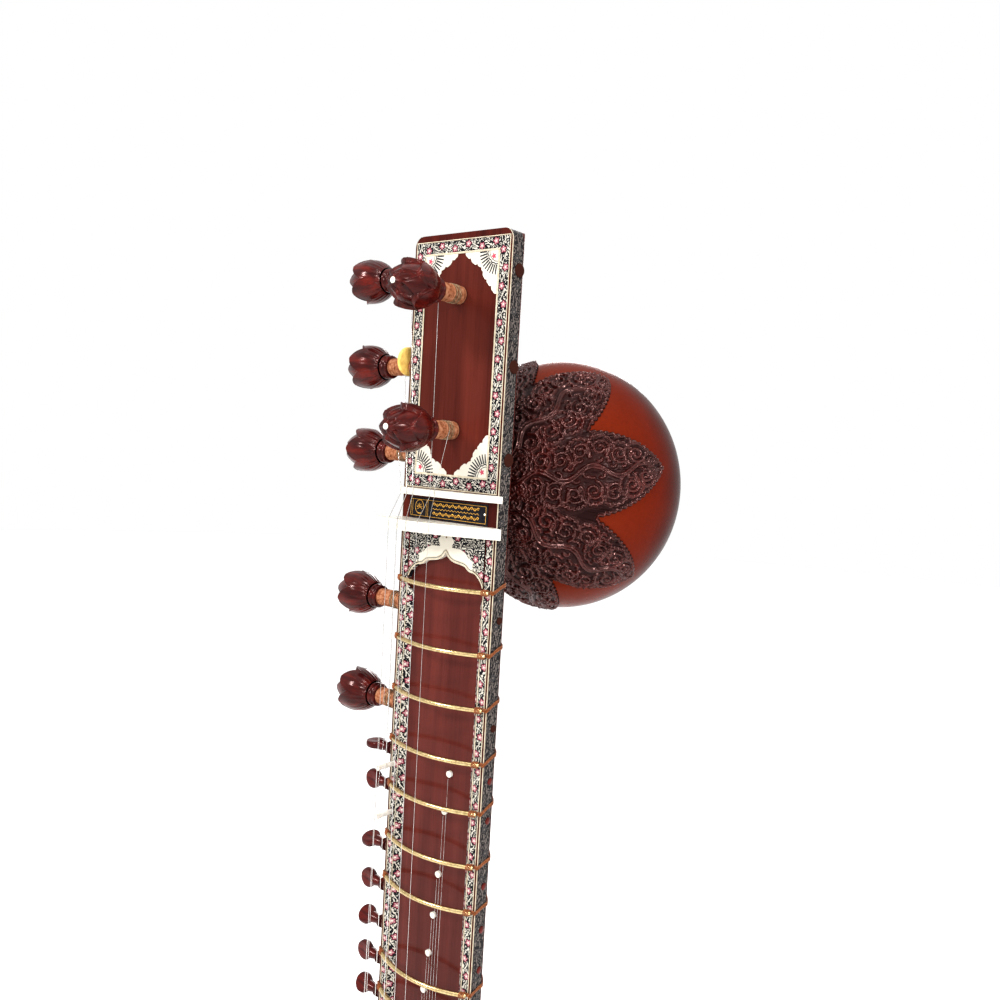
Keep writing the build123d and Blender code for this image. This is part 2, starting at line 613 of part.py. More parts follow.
write("main_gourd", make_main_gourd())
write("throat", make_throat())
write("soundboard", make_soundboard())
write("throat_leaves", make_throat_leaves())
write("neck", make_neck())
write("fingerboard", make_fingerboard())
write("head_panel", make_head_panel())
write("face_inlays", make_face_inlays())
write("label_plate", make_label_plate())
write("string_guide", make_string_guide())
write("nut_plate", make_nut_plate())
write("gourd_boss", make_gourd_boss())
write("upper_gourd", make_upper_gourd())
write("upper_gourd_leaves", make_upper_leaves())
write("upper_gourd_stud", make_upper_stud())
write("bridge_base", make_bridge_base())
write("bridge_plate", make_bridge_plate())
write("tarab_bridge", make_tarab_bridge())
write("tailpiece", make_tailpiece())
write("bone_fittings", make_bone_fittings())
write("main_strings", make_main_strings())
write("tarab_strings", make_tarab_strings())
write("tuning_bead", make_tuning_bead())
for peg_name, (peg_rise, peg_shoulder) in SIDE_PEGS.items():
    write(peg_name, make_side_peg(NUT_Z + peg_rise, peg_shoulder, PEG_TIP_R))
for peg_name, (peg_rise, peg_shoulder) in CHIKARI_PEGS.items():
    write(peg_name, make_side_peg(NUT_Z + peg_rise, peg_shoulder, THIN_R))
for peg_name, peg_rise in FRONT_PEG_RISES.items():
    write(peg_name, make_front_peg(NUT_Z + peg_rise))
for peg_number, peg_drop in enumerate(tarab_drops(), 1):
    write(f"tarab_peg_{peg_number:02d}", make_tarab_peg(NUT_Z - peg_drop, tarab_turn(peg_number)))
for fret_number, fret_drop in enumerate(fret_drops(), 1):
    write(f"fret_{fret_number:02d}", make_fret(NUT_Z - fret_drop))
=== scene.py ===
import math
import random

import bmesh
import bpy
from mathutils import Matrix, Vector, kdtree


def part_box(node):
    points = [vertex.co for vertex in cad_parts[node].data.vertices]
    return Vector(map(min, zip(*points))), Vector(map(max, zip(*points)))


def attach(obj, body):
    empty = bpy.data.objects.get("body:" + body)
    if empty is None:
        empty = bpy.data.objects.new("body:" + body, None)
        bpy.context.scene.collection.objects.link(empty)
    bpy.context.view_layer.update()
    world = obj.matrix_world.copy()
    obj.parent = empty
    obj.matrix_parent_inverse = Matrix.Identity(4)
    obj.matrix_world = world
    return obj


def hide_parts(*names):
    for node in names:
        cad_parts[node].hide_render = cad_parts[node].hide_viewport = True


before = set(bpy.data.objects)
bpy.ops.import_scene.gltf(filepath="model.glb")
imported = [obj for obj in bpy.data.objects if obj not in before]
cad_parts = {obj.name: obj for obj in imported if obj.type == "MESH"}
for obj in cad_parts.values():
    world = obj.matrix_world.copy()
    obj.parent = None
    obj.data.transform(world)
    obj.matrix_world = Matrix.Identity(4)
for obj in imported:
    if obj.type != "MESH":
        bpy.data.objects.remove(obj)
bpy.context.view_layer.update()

# ---- The instrument's lines --------------------------------------------------
# A sitar is laid out from its nut line and its playing face. Everything below is
# in millimetres along the CAD frame: +Z up the neck, -Y towards the player's eye.
head_low, head_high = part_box("neck")
NUT_Z = head_high.z * 1000 - 211.5
FACE_Y = head_low.y * 1000 - 0.6
NECK_HALF = head_high.x * 1000
HEAD_Z = head_high.z * 1000
BOARD_START = head_low.z * 1000
BAND_Y = FACE_Y + 14
BACK_RISE = 24.0
BACK_R = (NECK_HALF ** 2 + BACK_RISE ** 2) / (2 * BACK_RISE)


# ---- Studio ------------------------------------------------------------------
# A white room: pale floor, white surroundings and three large soft lamps, with the
# camera a little above the nut, in front of the instrument's right-hand side.
camera_data = bpy.data.cameras.new("camera")
camera_data.lens = 34.535
camera_data.sensor_width = 36.0
camera_data.clip_start = 0.01
camera_data.clip_end = 60.0
camera = bpy.data.objects.new("camera", camera_data)
bpy.context.scene.collection.objects.link(camera)
camera.matrix_world = (
    Matrix.Translation((0.4747, (FACE_Y - 539.1) / 1000, (NUT_Z + 62.8) / 1000))
    @ Matrix.Rotation(math.radians(38.29), 4, "Z")
    @ Matrix.Rotation(math.radians(90 - 3.75), 4, "X")
    @ Matrix.Rotation(math.radians(3.28), 4, "Z")
)
bpy.context.scene.camera = camera

world = bpy.data.worlds.new("white_room")
world.use_nodes = True
world.node_tree.nodes["Background"].inputs["Color"].default_value = (1.0, 1.0, 1.0, 1.0)
world.node_tree.nodes["Background"].inputs["Strength"].default_value = 1.0
bpy.context.scene.world = world
bpy.context.scene.view_settings.view_transform = "Standard"
bpy.context.scene.view_settings.gamma = 0.84


def add_lamp(name, place, target, size, watts):
    """Square soft lamp that faces a point."""
    data = bpy.data.lights.new(name, "AREA")
    data.size = size
    data.energy = watts
    lamp = bpy.data.objects.new(name, data)
    bpy.context.scene.collection.objects.link(lamp)
    lamp.location = place
    lamp.rotation_euler = (Vector(target) - Vector(place)).to_track_quat("-Z", "Y").to_euler()


add_lamp("key_lamp", (-0.9, -2.1, 2.3), (0, 0, 0.95), 0.42, 34)
add_lamp("side_lamp", (2.3, -0.7, 1.9), (0, 0, 0.95), 0.36, 24)
add_lamp("back_lamp", (-1.4, 2.2, 1.8), (0, 0, 0.95), 0.8, 14)
add_lamp("front_lamp", (1.1, -1.9, 1.5), (0, 0, 1.05), 0.25, 11)
add_lamp("high_lamp", (0.5, -1.1, 2.6), (0, 0, 1.05), 0.25, 12)
sky_data = bpy.data.lights.new("ceiling_light", "SUN")
sky_data.energy = 0.55
sky_data.angle = math.radians(60)
ceiling_light = bpy.data.objects.new("ceiling_light", sky_data)
bpy.context.scene.collection.objects.link(ceiling_light)


def new_material(name, color, roughness, coat=0.0, coat_roughness=0.1):
    """Material with its shader's uniform values set; colour nodes are added by the caller."""
    material = bpy.data.materials.new(name)
    material.use_nodes = True
    shader = material.node_tree.nodes["Principled BSDF"]
    shader.inputs["Base Color"].default_value = (*color, 1)
    shader.inputs["Roughness"].default_value = roughness
    shader.inputs["IOR"].default_value = 1.14
    shader.inputs["Specular IOR Level"].default_value = 0.5
    shader.inputs["Coat Weight"].default_value = coat
    shader.inputs["Coat Roughness"].default_value = coat_roughness
    return material, material.node_tree, shader


def feed(tree, socket, value):
    """Connect a socket, or set it when the value is a number or a colour."""
    if isinstance(value, bpy.types.NodeSocket):
        tree.links.new(value, socket)
    else:
        socket.default_value = value


def calc(tree, operation, a, b=0.0, c=0.0):
    """One arithmetic node; a, b and c are sockets or numbers."""
    node = tree.nodes.new("ShaderNodeMath")
    node.operation = operation
    for index, value in enumerate((a, b, c)):
        feed(tree, node.inputs[index], value)
    return node.outputs[0]


def blend_colors(tree, factor, first, second):
    """Mix of two colours, each a socket or an rgb tuple."""
    node = tree.nodes.new("ShaderNodeMix")
    node.data_type = "RGBA"
    feed(tree, node.inputs["Factor"], factor)
    for key, value in (("A", first), ("B", second)):
        socket = [s for s in node.inputs if s.name == key and s.type == "RGBA"][0]
        feed(tree, socket, (*value, 1) if isinstance(value, tuple) else value)
    return [s for s in node.outputs if s.type == "RGBA"][0]


def color_ramp(tree, factor, stops):
    """Colour ramp through (position, rgb) stops."""
    node = tree.nodes.new("ShaderNodeValToRGB")
    feed(tree, node.inputs["Fac"], factor)
    ramp = node.color_ramp
    while len(ramp.elements) < len(stops):
        ramp.elements.new(0.5)
    for element, (position, color) in zip(ramp.elements, stops):
        element.position = position
        element.color = (*color, 1)
    return node.outputs["Color"]


def step_between(tree, value, low, high):
    """0 below low, 1 above high."""
    node = tree.nodes.new("ShaderNodeMapRange")
    feed(tree, node.inputs["Value"], value)
    node.inputs["From Min"].default_value = low
    node.inputs["From Max"].default_value = high
    return node.outputs["Result"]


def place_mm(tree, stretch=(1, 1, 1), source="Object"):
    """Surface place in millimetres, stretched per axis."""
    coordinates = tree.nodes.new("ShaderNodeTexCoord")
    node = tree.nodes.new("ShaderNodeMapping")
    scale = 1000 if source == "Object" else 1
    node.inputs["Scale"].default_value = [scale * s for s in stretch]
    tree.links.new(coordinates.outputs[source], node.inputs["Vector"])
    return node.outputs["Vector"]


def noise(tree, vector, scale, detail=3.0, rough=0.55, distortion=0.0):
    node = tree.nodes.new("ShaderNodeTexNoise")
    feed(tree, node.inputs["Vector"], vector)
    node.inputs["Scale"].default_value = scale
    node.inputs["Detail"].default_value = detail
    node.inputs["Roughness"].default_value = rough
    node.inputs["Distortion"].default_value = distortion
    return node.outputs["Fac"]


def add_bump(tree, shader, height, strength, distance_mm):
    node = tree.nodes.new("ShaderNodeBump")
    node.inputs["Strength"].default_value = strength
    node.inputs["Distance"].default_value = distance_mm / 1000
    tree.links.new(height, node.inputs["Height"])
    tree.links.new(node.outputs["Normal"], shader.inputs["Normal"])


def vary_roughness(tree, shader, field, low, high):
    node = tree.nodes.new("ShaderNodeMapRange")
    tree.links.new(field, node.inputs["Value"])
    node.inputs["To Min"].default_value = low
    node.inputs["To Max"].default_value = high
    tree.links.new(node.outputs["Result"], shader.inputs["Roughness"])


def split_xyz(tree, vector):
    node = tree.nodes.new("ShaderNodeSeparateXYZ")
    tree.links.new(vector, node.inputs[0])
    return node.outputs


floor_mesh = bpy.data.meshes.new("floor")
floor_form = bmesh.new()
bmesh.ops.create_circle(floor_form, cap_ends=True, radius=9.0, segments=96)
floor_form.to_mesh(floor_mesh)
floor_form.free()
floor = bpy.data.objects.new("floor", floor_mesh)
floor.location.z = -0.004
bpy.context.scene.collection.objects.link(floor)
floor_material, floor_tree, floor_shader = new_material("pale_floor", (0.95, 0.95, 0.95), 0.7)
floor_grain = noise(floor_tree, place_mm(floor_tree), 0.02)
floor_tone = color_ramp(floor_tree, floor_grain, [(0.3, (0.94, 0.94, 0.94)), (0.7, (0.96, 0.96, 0.96))])
floor_tree.links.new(floor_tone, floor_shader.inputs["Base Color"])
floor_mesh.materials.append(floor_material)


# ---- Main gourd --------------------------------------------------------------
# The body is a dried pumpkin shell, even and round, about six millimetres thick.
# It is stained red and French polished to a high gloss; painted shade darkens the colour towards the edges.
GOURD_R = 175.0
GOURD_DEPTH = 165.0
LACQUER_COAT = 0.02


def paint(node_name, material):
    """Give a CAD node one material."""
    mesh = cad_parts[node_name].data
    mesh.materials.clear()
    mesh.materials.append(material)


def smooth_node(node_name, degrees=32):
    """Smooth shading of a CAD node, keeping edges sharper than the angle."""
    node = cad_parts[node_name]
    for polygon in node.data.polygons:
        polygon.use_smooth = True
    corner = math.radians(degrees)
    form = bmesh.new()
    form.from_mesh(node.data)
    sharp = [e.index for e in form.edges if len(e.link_faces) == 2 and e.calc_face_angle(0) > corner]
    form.free()
    for index in sharp:
        node.data.edges[index].use_edge_sharp = True


def gourd_material(name, centre, radius, depth, axis):
    """Red-orange stain with painted shade: the colour darkens with the angle from the pole on the given axis."""
    material, tree, shader = new_material(name, (0.45, 0.08, 0.02), 0.28, LACQUER_COAT, 0.06)
    x, y, z = split_xyz(tree, place_mm(tree))
    dx = calc(tree, "DIVIDE", calc(tree, "SUBTRACT", x, centre[0]), radius)
    dy = calc(tree, "DIVIDE", calc(tree, "SUBTRACT", y, centre[1]), depth)
    dz = calc(tree, "DIVIDE", calc(tree, "SUBTRACT", z, centre[2]), radius)
    height = calc(tree, "MULTIPLY", dy, -1.0) if axis == "front" else dz
    blotch = noise(tree, place_mm(tree), 0.018, 4)
    soft = calc(tree, "MULTIPLY_ADD", blotch, 0.16, -0.08)
    level = calc(tree, "ADD", calc(tree, "MULTIPLY_ADD", height, 0.5, 0.5), soft)
    # Painted shade: the ramp's dark stops stand for shade over the red-orange stain, round the rim of the upper gourd
    # and towards the top of the main gourd.
    if axis == "front":
        stops = [(0.0, (0.11, 0.016, 0.008)), (0.12, (0.024, 0.004, 0.003)), (0.30, (0.024, 0.004, 0.003)),
                 (0.42, (0.060, 0.006, 0.003)), (0.56, (0.135, 0.014, 0.004)), (0.85, (0.19, 0.024, 0.006))]
    else:
        stops = [(0.0, (0.13, 0.017, 0.007)), (0.35, (0.21, 0.028, 0.008)), (0.62, (0.16, 0.019, 0.008)),
                 (0.85, (0.055, 0.009, 0.006)), (1.0, (0.04, 0.007, 0.005))]
    stain = color_ramp(tree, level, stops)
    fleck = noise(tree, place_mm(tree), 0.35, 5, 0.7)
    worn = blend_colors(tree, calc(tree, "MULTIPLY", step_between(tree, fleck, 0.45, 0.8), 0.3), stain, (0.06, 0.009, 0.006))
    tree.links.new(worn, shader.inputs["Base Color"])
    shader.inputs["Specular Tint"].default_value = (1.0, 0.72, 0.66, 1.0)
    vary_roughness(tree, shader, noise(tree, place_mm(tree), 0.06, 2), 0.20, 0.34)
    add_bump(tree, shader, noise(tree, place_mm(tree), 0.03, 3), 0.25, 1.2)
    return material


main_gourd_material = gourd_material("main_gourd_lacquer", (0, 0, GOURD_R), GOURD_R, GOURD_DEPTH, "up")
paint("main_gourd", main_gourd_material)
smooth_node("main_gourd")


# ---- Throat ------------------------------------------------------------------
# The throat is a block of tun wood, hollowed and rasped to run from the round
# gourd into the neck. It is stained dark and polished with the gourd.
THROAT_START = 262.0
NECK_START = 385.0


def wood_material(name, dark, light, roughness, grain=(0.5, 0.5, 0.012), coat=0.04):
    """Fine straight-grained tun wood under lacquer, with pores along the neck."""
    material, tree, shader = new_material(name, light, roughness, coat, 0.08)
    fibre = noise(tree, place_mm(tree, grain), 1.0, 6, 0.65)
    broad = noise(tree, place_mm(tree, (0.06, 0.06, 0.004)), 1.0, 3)
    mixed = calc(tree, "MULTIPLY_ADD", broad, 0.72, calc(tree, "MULTIPLY", fibre, 0.28))
    tone = color_ramp(tree, mixed, [(0.34, dark), (0.50, tuple((a + b) / 2 for a, b in zip(dark, light))), (0.66, light)])
    pores = step_between(tree, noise(tree, place_mm(tree, (2.2, 2.2, 0.06)), 1.0, 2), 0.63, 0.72)
    colour = blend_colors(tree, calc(tree, "MULTIPLY", pores, 0.45), tone, tuple(0.45 * d for d in dark))
    tree.links.new(colour, shader.inputs["Base Color"])
    vary_roughness(tree, shader, fibre, roughness * 0.8, roughness * 1.3)
    add_bump(tree, shader, pores, 0.12, -0.15)
    return material


throat_wood = wood_material("throat_wood", (0.045, 0.008, 0.006), (0.12, 0.020, 0.011), 0.26)
paint("throat", throat_wood)
smooth_node("throat")


# ---- Soundboard --------------------------------------------------------------
# The table is a thin, slightly arched plank of tun wood, glued over the gourd's
# mouth, with an engraved binding round its edge and inlaid lines inside it.
TABLE_R = GOURD_R * math.sqrt(1 - (BAND_Y / GOURD_DEPTH) ** 2)
TABLE_RISE = 10.0
TABLE_RIM_Y = BAND_Y - 2


def table_material():
    """Warm red-brown plank with straight grain, darker towards its border."""
    material, tree, shader = new_material("table_wood", (0.45, 0.16, 0.05), 0.30, 0.05, 0.08)
    fibre = noise(tree, place_mm(tree, (0.55, 0.2, 0.010)), 1.0, 6, 0.6)
    broad = noise(tree, place_mm(tree, (0.05, 0.05, 0.003)), 1.0, 3)
    mixed = calc(tree, "MULTIPLY_ADD", broad, 0.5, calc(tree, "MULTIPLY", fibre, 0.5))
    tone = color_ramp(tree, mixed, [(0.35, (0.13, 0.024, 0.009)), (0.5, (0.21, 0.045, 0.014)), (0.66, (0.29, 0.072, 0.022))])
    x, y, z = split_xyz(tree, place_mm(tree))
    away = calc(tree, "SUBTRACT", z, GOURD_R)
    span = calc(tree, "SQRT", calc(tree, "ADD", calc(tree, "MULTIPLY", x, x), calc(tree, "MULTIPLY", away, away)))
    shade = calc(tree, "MULTIPLY", step_between(tree, span, 95.0, 168.0), 0.75)
    colour = blend_colors(tree, shade, tone, (0.050, 0.008, 0.006))
    tree.links.new(colour, shader.inputs["Base Color"])
    vary_roughness(tree, shader, fibre, 0.24, 0.38)
    add_bump(tree, shader, fibre, 0.06, 0.2)
    return material


paint("soundboard", table_material())
smooth_node("soundboard", 20)


def throat_half_width(height):
    """Half width of the throat's front at a height; the same curve as the CAD's."""
    rise = THROAT_START - GOURD_R
    ratio = math.sqrt(1 - (rise / GOURD_R) ** 2)
    run = NECK_START - THROAT_START
    t = (height - THROAT_START) / run
    start = 2 * t ** 3 - 3 * t ** 2 + 1
    slope = (t ** 3 - 2 * t ** 2 + t) * run * -rise / (GOURD_R * ratio)
    width = start * GOURD_R * ratio + slope + (1 - start) * BACK_R
    depth = (start * GOURD_R * ratio + slope) * GOURD_DEPTH / GOURD_R + (1 - start) * BACK_R
    centre = (1 - start) * (BAND_Y + BACK_RISE - BACK_R)
    return width * math.sqrt(1 - ((BAND_Y - centre) / depth) ** 2)


def table_outline(count):
    """Points round the table's edge, from the top left round the bottom to the top right."""
    right = []
    for i in range(count // 4):
        height = BOARD_START + (THROAT_START - BOARD_START) * i / (count // 4)
        right.append((throat_half_width(height), height))
    start = math.atan2(THROAT_START - GOURD_R, throat_half_width(THROAT_START))
    half = count // 2
    for i in range(half + 1):
        angle = start + (-math.pi / 2 - start) * i / half
        right.append((TABLE_R * math.cos(angle), GOURD_R + TABLE_R * math.sin(angle)))
    left = [(-x, z) for x, z in right[:-1]]
    return left + right[::-1]


def mesh_piece(name, points, faces, material, body="root", uvs=None, smooth=True, sharp=None):
    """Mesh object from millimetre points, riding on a CAD body."""
    mesh = bpy.data.meshes.new(name)
    mesh.from_pydata([(x / 1000, y / 1000, z / 1000) for x, y, z in points], [], faces)
    if uvs is not None:
        layer = mesh.uv_layers.new(name="UVMap")
        for loop in mesh.loops:
            layer.data[loop.index].uv = uvs[loop.vertex_index]
    for polygon in mesh.polygons:
        polygon.use_smooth = smooth
    mesh.validate()
    if sharp is not None:
        mesh.set_sharp_from_angle(angle=math.radians(sharp))
    piece = bpy.data.objects.new(name, mesh)
    bpy.context.scene.collection.objects.link(piece)
    mesh.materials.append(material)
    if body:
        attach(piece, body)
    return piece


def band_along(outline, inner, outer, y_of, lift, closed=False):
    """Flat band beside a line in the XZ plane; returns points, faces and (along, across) in mm."""
    count = len(outline)
    points, faces, uvs = [], [], []
    run = 0.0
    for i, (x, z) in enumerate(outline):
        before = outline[(i - 1) % count] if closed or i else outline[i]
        after = outline[(i + 1) % count] if closed or i < count - 1 else outline[i]
        along = Vector((after[0] - before[0], after[1] - before[1])).normalized()
        normal = Vector((-along.y, along.x))
        if i:
            run += math.hypot(x - outline[i - 1][0], z - outline[i - 1][1])
        steps = 4
        for k in range(steps + 1):
            offset = inner + (outer - inner) * k / steps
            px, pz = x + normal.x * offset, z + normal.y * offset
            edge = 0.25 if k in (0, steps) else 0.0
            points.append((px, y_of(px, pz) - lift + edge, pz))
            uvs.append((run, offset))
    for i in range(count if closed else count - 1):
        j = (i + 1) % count
        for k in range(4):
            faces.append((i * 5 + k, j * 5 + k, j * 5 + k + 1, i * 5 + k + 1))
    return points, faces, uvs


def table_y(x, z):
    """Y of the arched table at a point; flat on the tongue."""
    sphere_r = (TABLE_R ** 2 + TABLE_RISE ** 2) / (2 * TABLE_RISE)
    span = math.hypot(x, z - GOURD_R)
    arch = TABLE_RIM_Y - TABLE_RISE + sphere_r - math.sqrt(max(0.0, sphere_r ** 2 - span ** 2))
    return min(arch, BAND_Y - 4.0) if z > THROAT_START - 30 else arch


def celluloid_material(name, ground, leaf, flower, edge, period=13.0, leaf_size=1.9, swing=1.3, folded=False):
    """White celluloid, engraved and filled: leaves on a dark ground and a row of flowers.

    The pattern follows the strip: U runs along it and V across it, in millimetres. A
    folded pattern runs down both sides of the centre line instead.
    """
    material, tree, shader = new_material(name, leaf, 0.22, 0.05, 0.08)
    if folded:
        x, _, z = split_xyz(tree, place_mm(tree))
        side = calc(tree, "ABSOLUTE", x)
        fall = calc(tree, "SUBTRACT", NUT_Z, z)
        u = calc(tree, "ADD", calc(tree, "MULTIPLY", side, 0.80), calc(tree, "MULTIPLY", fall, 0.60))
        across = calc(tree, "SUBTRACT", calc(tree, "MULTIPLY", side, 0.60), calc(tree, "MULTIPLY", fall, 0.80))
        v = calc(tree, "ADD", across, 7.0)
    else:
        u, v, _ = split_xyz(tree, place_mm(tree, source="UV"))
    flat = tree.nodes.new("ShaderNodeCombineXYZ")
    tree.links.new(u, flat.inputs["X"])
    tree.links.new(v, flat.inputs["Y"])
    turns = calc(tree, "DIVIDE", u, period)
    number = calc(tree, "FLOOR", turns)
    local_u = calc(tree, "MULTIPLY", calc(tree, "SUBTRACT", calc(tree, "FRACT", turns), 0.5), period)
    parity = calc(tree, "FLOORED_MODULO", number, 2.0)
    sway = calc(tree, "MULTIPLY", calc(tree, "SUBTRACT", calc(tree, "MULTIPLY", parity, 2.0), 1.0), swing)
    local_v = calc(tree, "SUBTRACT", v, sway)
    squares = calc(tree, "ADD", calc(tree, "MULTIPLY", local_u, local_u), calc(tree, "MULTIPLY", local_v, local_v))
    reach = calc(tree, "SQRT", squares)
    turn = calc(tree, "ARCTAN2", local_v, local_u)
    wave_five = calc(tree, "COSINE", calc(tree, "MULTIPLY_ADD", turn, 5.0, calc(tree, "MULTIPLY", number, 1.9)))
    petals = calc(tree, "MULTIPLY_ADD", wave_five, 0.45, 2.45)
    gap = calc(tree, "SUBTRACT", reach, petals)
    in_flower = calc(tree, "LESS_THAN", gap, 0.0)
    in_ring = calc(tree, "LESS_THAN", gap, 0.5)
    heart = calc(tree, "LESS_THAN", reach, 0.75)
    petal_core = calc(tree, "LESS_THAN", calc(tree, "ABSOLUTE", calc(tree, "ADD", gap, 1.15)), 0.42)
    cells = tree.nodes.new("ShaderNodeTexVoronoi")
    cells.voronoi_dimensions = "2D"
    cells.feature = "DISTANCE_TO_EDGE"
    bent = tree.nodes.new("ShaderNodeCombineXYZ")
    curl = calc(tree, "MULTIPLY_ADD", noise(tree, flat.outputs[0], 0.22, 1), 7.0, -3.5)
    wave = calc(tree, "MULTIPLY", calc(tree, "SINE", calc(tree, "MULTIPLY", u, 2 * math.pi / period)), 1.6)
    bent_v = calc(tree, "ADD", calc(tree, "ADD", v, wave), curl)
    tree.links.new(calc(tree, "MULTIPLY_ADD", u, 0.58, curl), bent.inputs["X"])
    tree.links.new(bent_v, bent.inputs["Y"])
    tree.links.new(bent.outputs[0], cells.inputs["Vector"])
    cells.inputs["Scale"].default_value = 1.0 / leaf_size
    leaf_mask = calc(tree, "GREATER_THAN", cells.outputs["Distance"], 0.215)
    stem = calc(tree, "LESS_THAN", calc(tree, "ABSOLUTE", calc(tree, "ADD", v, wave)), 0.3)
    leaves = calc(tree, "MAXIMUM", leaf_mask, stem)
    vein = calc(tree, "LESS_THAN", calc(tree, "ABSOLUTE", calc(tree, "SUBTRACT", cells.outputs["Distance"], 0.36)), 0.04)
    leaf_tone = blend_colors(tree, calc(tree, "MULTIPLY", vein, 0.8), leaf, edge)
    base = blend_colors(tree, leaves, ground, leaf_tone)
    base = blend_colors(tree, in_ring, base, ground)
    petal_tone = blend_colors(tree, petal_core, flower[0], flower[1])
    base = blend_colors(tree, in_flower, base, petal_tone)
    base = blend_colors(tree, heart, base, leaf)
    tree.links.new(base, shader.inputs["Base Color"])
    cut = calc(tree, "MAXIMUM", leaves, in_flower)
    add_bump(tree, shader, cut, 0.3, 0.12)
    return material


INK = (0.012, 0.012, 0.015)
CREAM = (0.66, 0.62, 0.54)
PINK = ((0.235, 0.030, 0.055), (0.52, 0.33, 0.34))
flower_inlay = celluloid_material("flower_inlay", INK, CREAM, PINK, (0.30, 0.29, 0.27))
binding_inlay = celluloid_material("binding_inlay", INK, CREAM, PINK, (0.30, 0.29, 0.27), period=17, swing=0.6)


def plain_celluloid(name, color, stain):
    """Polished white celluloid or bone with faint cloudy stains."""
    material, tree, shader = new_material(name, color, 0.25, 0.05, 0.08)
    cloud = noise(tree, place_mm(tree), 0.25, 4, 0.6)
    tone = color_ramp(tree, cloud, [(0.35, stain), (0.62, color)])
    tree.links.new(tone, shader.inputs["Base Color"])
    shader.inputs["Subsurface Weight"].default_value = 0.12
    shader.inputs["Subsurface Radius"].default_value = (0.002, 0.0015, 0.001)
    vary_roughness(tree, shader, cloud, 0.20, 0.32)
    return material


cream_line = plain_celluloid("cream_line", (0.62, 0.56, 0.44), (0.48, 0.40, 0.29))
ink_line_material, ink_tree, ink_shader = new_material("ink_line", INK, 0.35)
ink_grain = noise(ink_tree, place_mm(ink_tree), 0.8)
ink_tree.links.new(color_ramp(ink_tree, ink_grain, [(0.3, INK), (0.7, (0.03, 0.027, 0.03))]), ink_shader.inputs["Base Color"])

table_edge = table_outline(160)
for title, inner, outer, lift, material in (
    ("table_binding", 0.6, 6.5, 0.45, binding_inlay),
    ("table_line_outer", 6.6, 7.6, 0.5, cream_line),
    ("table_line_ink", 7.8, 8.8, 0.4, ink_line_material),
    ("table_line_inner", 9.0, 9.8, 0.45, cream_line),
):
    points, faces, uvs = band_along(table_edge, inner, outer, table_y, lift)
    strip = mesh_piece(title, points, faces, material, uvs=uvs)


# ---- Neck --------------------------------------------------------------------
# The neck is a half-round trough of tun wood, stained red-brown. Its two straight
# sides carry engraved grey bands between thin pale lines.
neck_wood = wood_material("neck_wood", (0.042, 0.007, 0.005), (0.115, 0.019, 0.012), 0.25)
paint("neck", neck_wood)
smooth_node("neck")
neck_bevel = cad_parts["neck"].modifiers.new("worn_edges", "BEVEL")
neck_bevel.width = 0.0006
neck_bevel.segments = 2
neck_bevel.limit_method = "ANGLE"
neck_bevel.angle_limit = math.radians(60)

side_inlay = celluloid_material("side_inlay", (0.022, 0.020, 0.021), (0.20, 0.168, 0.152),
                                ((0.10, 0.09, 0.09), (0.03, 0.03, 0.03)), (0.06, 0.055, 0.052), period=19, leaf_size=2.3)
HEAD_ROUND = 8.0


def side_line(side, y_front, y_back, material, title):
    """Strip on the neck's straight side, following the rounded head corner at its top."""
    start = BOARD_START + 3
    stations = [(side * (NECK_HALF + 0.12), start + (HEAD_Z - HEAD_ROUND - start) * i / 120) for i in range(121)]
    for i in range(1, 7):
        angle = math.radians(90 * i / 6 * 0.8)
        x = side * (NECK_HALF - HEAD_ROUND + (HEAD_ROUND + 0.12) * math.cos(angle))
        stations.append((x, HEAD_Z - HEAD_ROUND + (HEAD_ROUND + 0.12) * math.sin(angle)))
    points, faces, uvs = [], [], []
    for x, z in stations:
        for k in range(5):
            y = y_front + (y_back - y_front) * k / 4
            sink = 0.1 if k in (0, 4) else 0.0
            points.append((x - side * sink, y, z))
            uvs.append((z, y - (y_front + y_back) / 2))
    for i in range(len(stations) - 1):
        for k in range(4):
            quad = (i * 5 + k, i * 5 + k + 1, i * 5 + k + 6, i * 5 + k + 5)
            faces.append(quad if side > 0 else quad[::-1])
    piece = mesh_piece(title, points, faces, material, uvs=uvs)


for side, word in ((1, "right"), (-1, "left")):
    side_line(side, FACE_Y + 1.6, BAND_Y - 0.6, side_inlay, f"side_band_{word}")
    side_line(side, FACE_Y + 0.15, FACE_Y + 1.5, cream_line, f"side_line_{word}")


# ---- Fingerboard -------------------------------------------------------------
# A thin plate of polished tun wood lies four millimetres below the rails, slightly
# wavy from scraping, so that its gloss breaks into bands.
board_wood = wood_material("board_wood", (0.075, 0.015, 0.012), (0.135, 0.029, 0.022), 0.20, grain=(0.5, 0.5, 0.008), coat=0.22)
board_tree = board_wood.node_tree
board_wave = board_tree.nodes.new("ShaderNodeTexNoise")
board_tree.links.new(place_mm(board_tree, (0.035, 0.035, 0.022)), board_wave.inputs["Vector"])
board_wave.inputs["Scale"].default_value = 1.0
board_wave.inputs["Detail"].default_value = 1.0
add_bump(board_tree, board_tree.nodes["Principled BSDF"], board_wave.outputs["Fac"], 0.6, 4.0)
paint("fingerboard", board_wood)


# ---- Head panel --------------------------------------------------------------
# The peg box is closed in front by a thin panel, let in flush between the walls.
panel_wood = wood_material("panel_wood", (0.068, 0.013, 0.009), (0.130, 0.026, 0.017), 0.28)
paint("head_panel", panel_wood)


# ---- Engraved inlays ---------------------------------------------------------
# Strips of white celluloid are let into the face: a frame round the head panel,
# four fan corners, and two strips on each rail. Their engraving is filled with ink.
STRIP_OUT = NECK_HALF - 1.5
FRAME_TOP = NUT_Z + 206.8
FRAME_BOTTOM = NUT_Z + 20.8
WINDOW_TOP = NUT_Z + 196.0
WINDOW_BOTTOM = NUT_Z + 32.5
WINDOW_HALF = 34.8
BOARD_Y = FACE_Y + 4.0


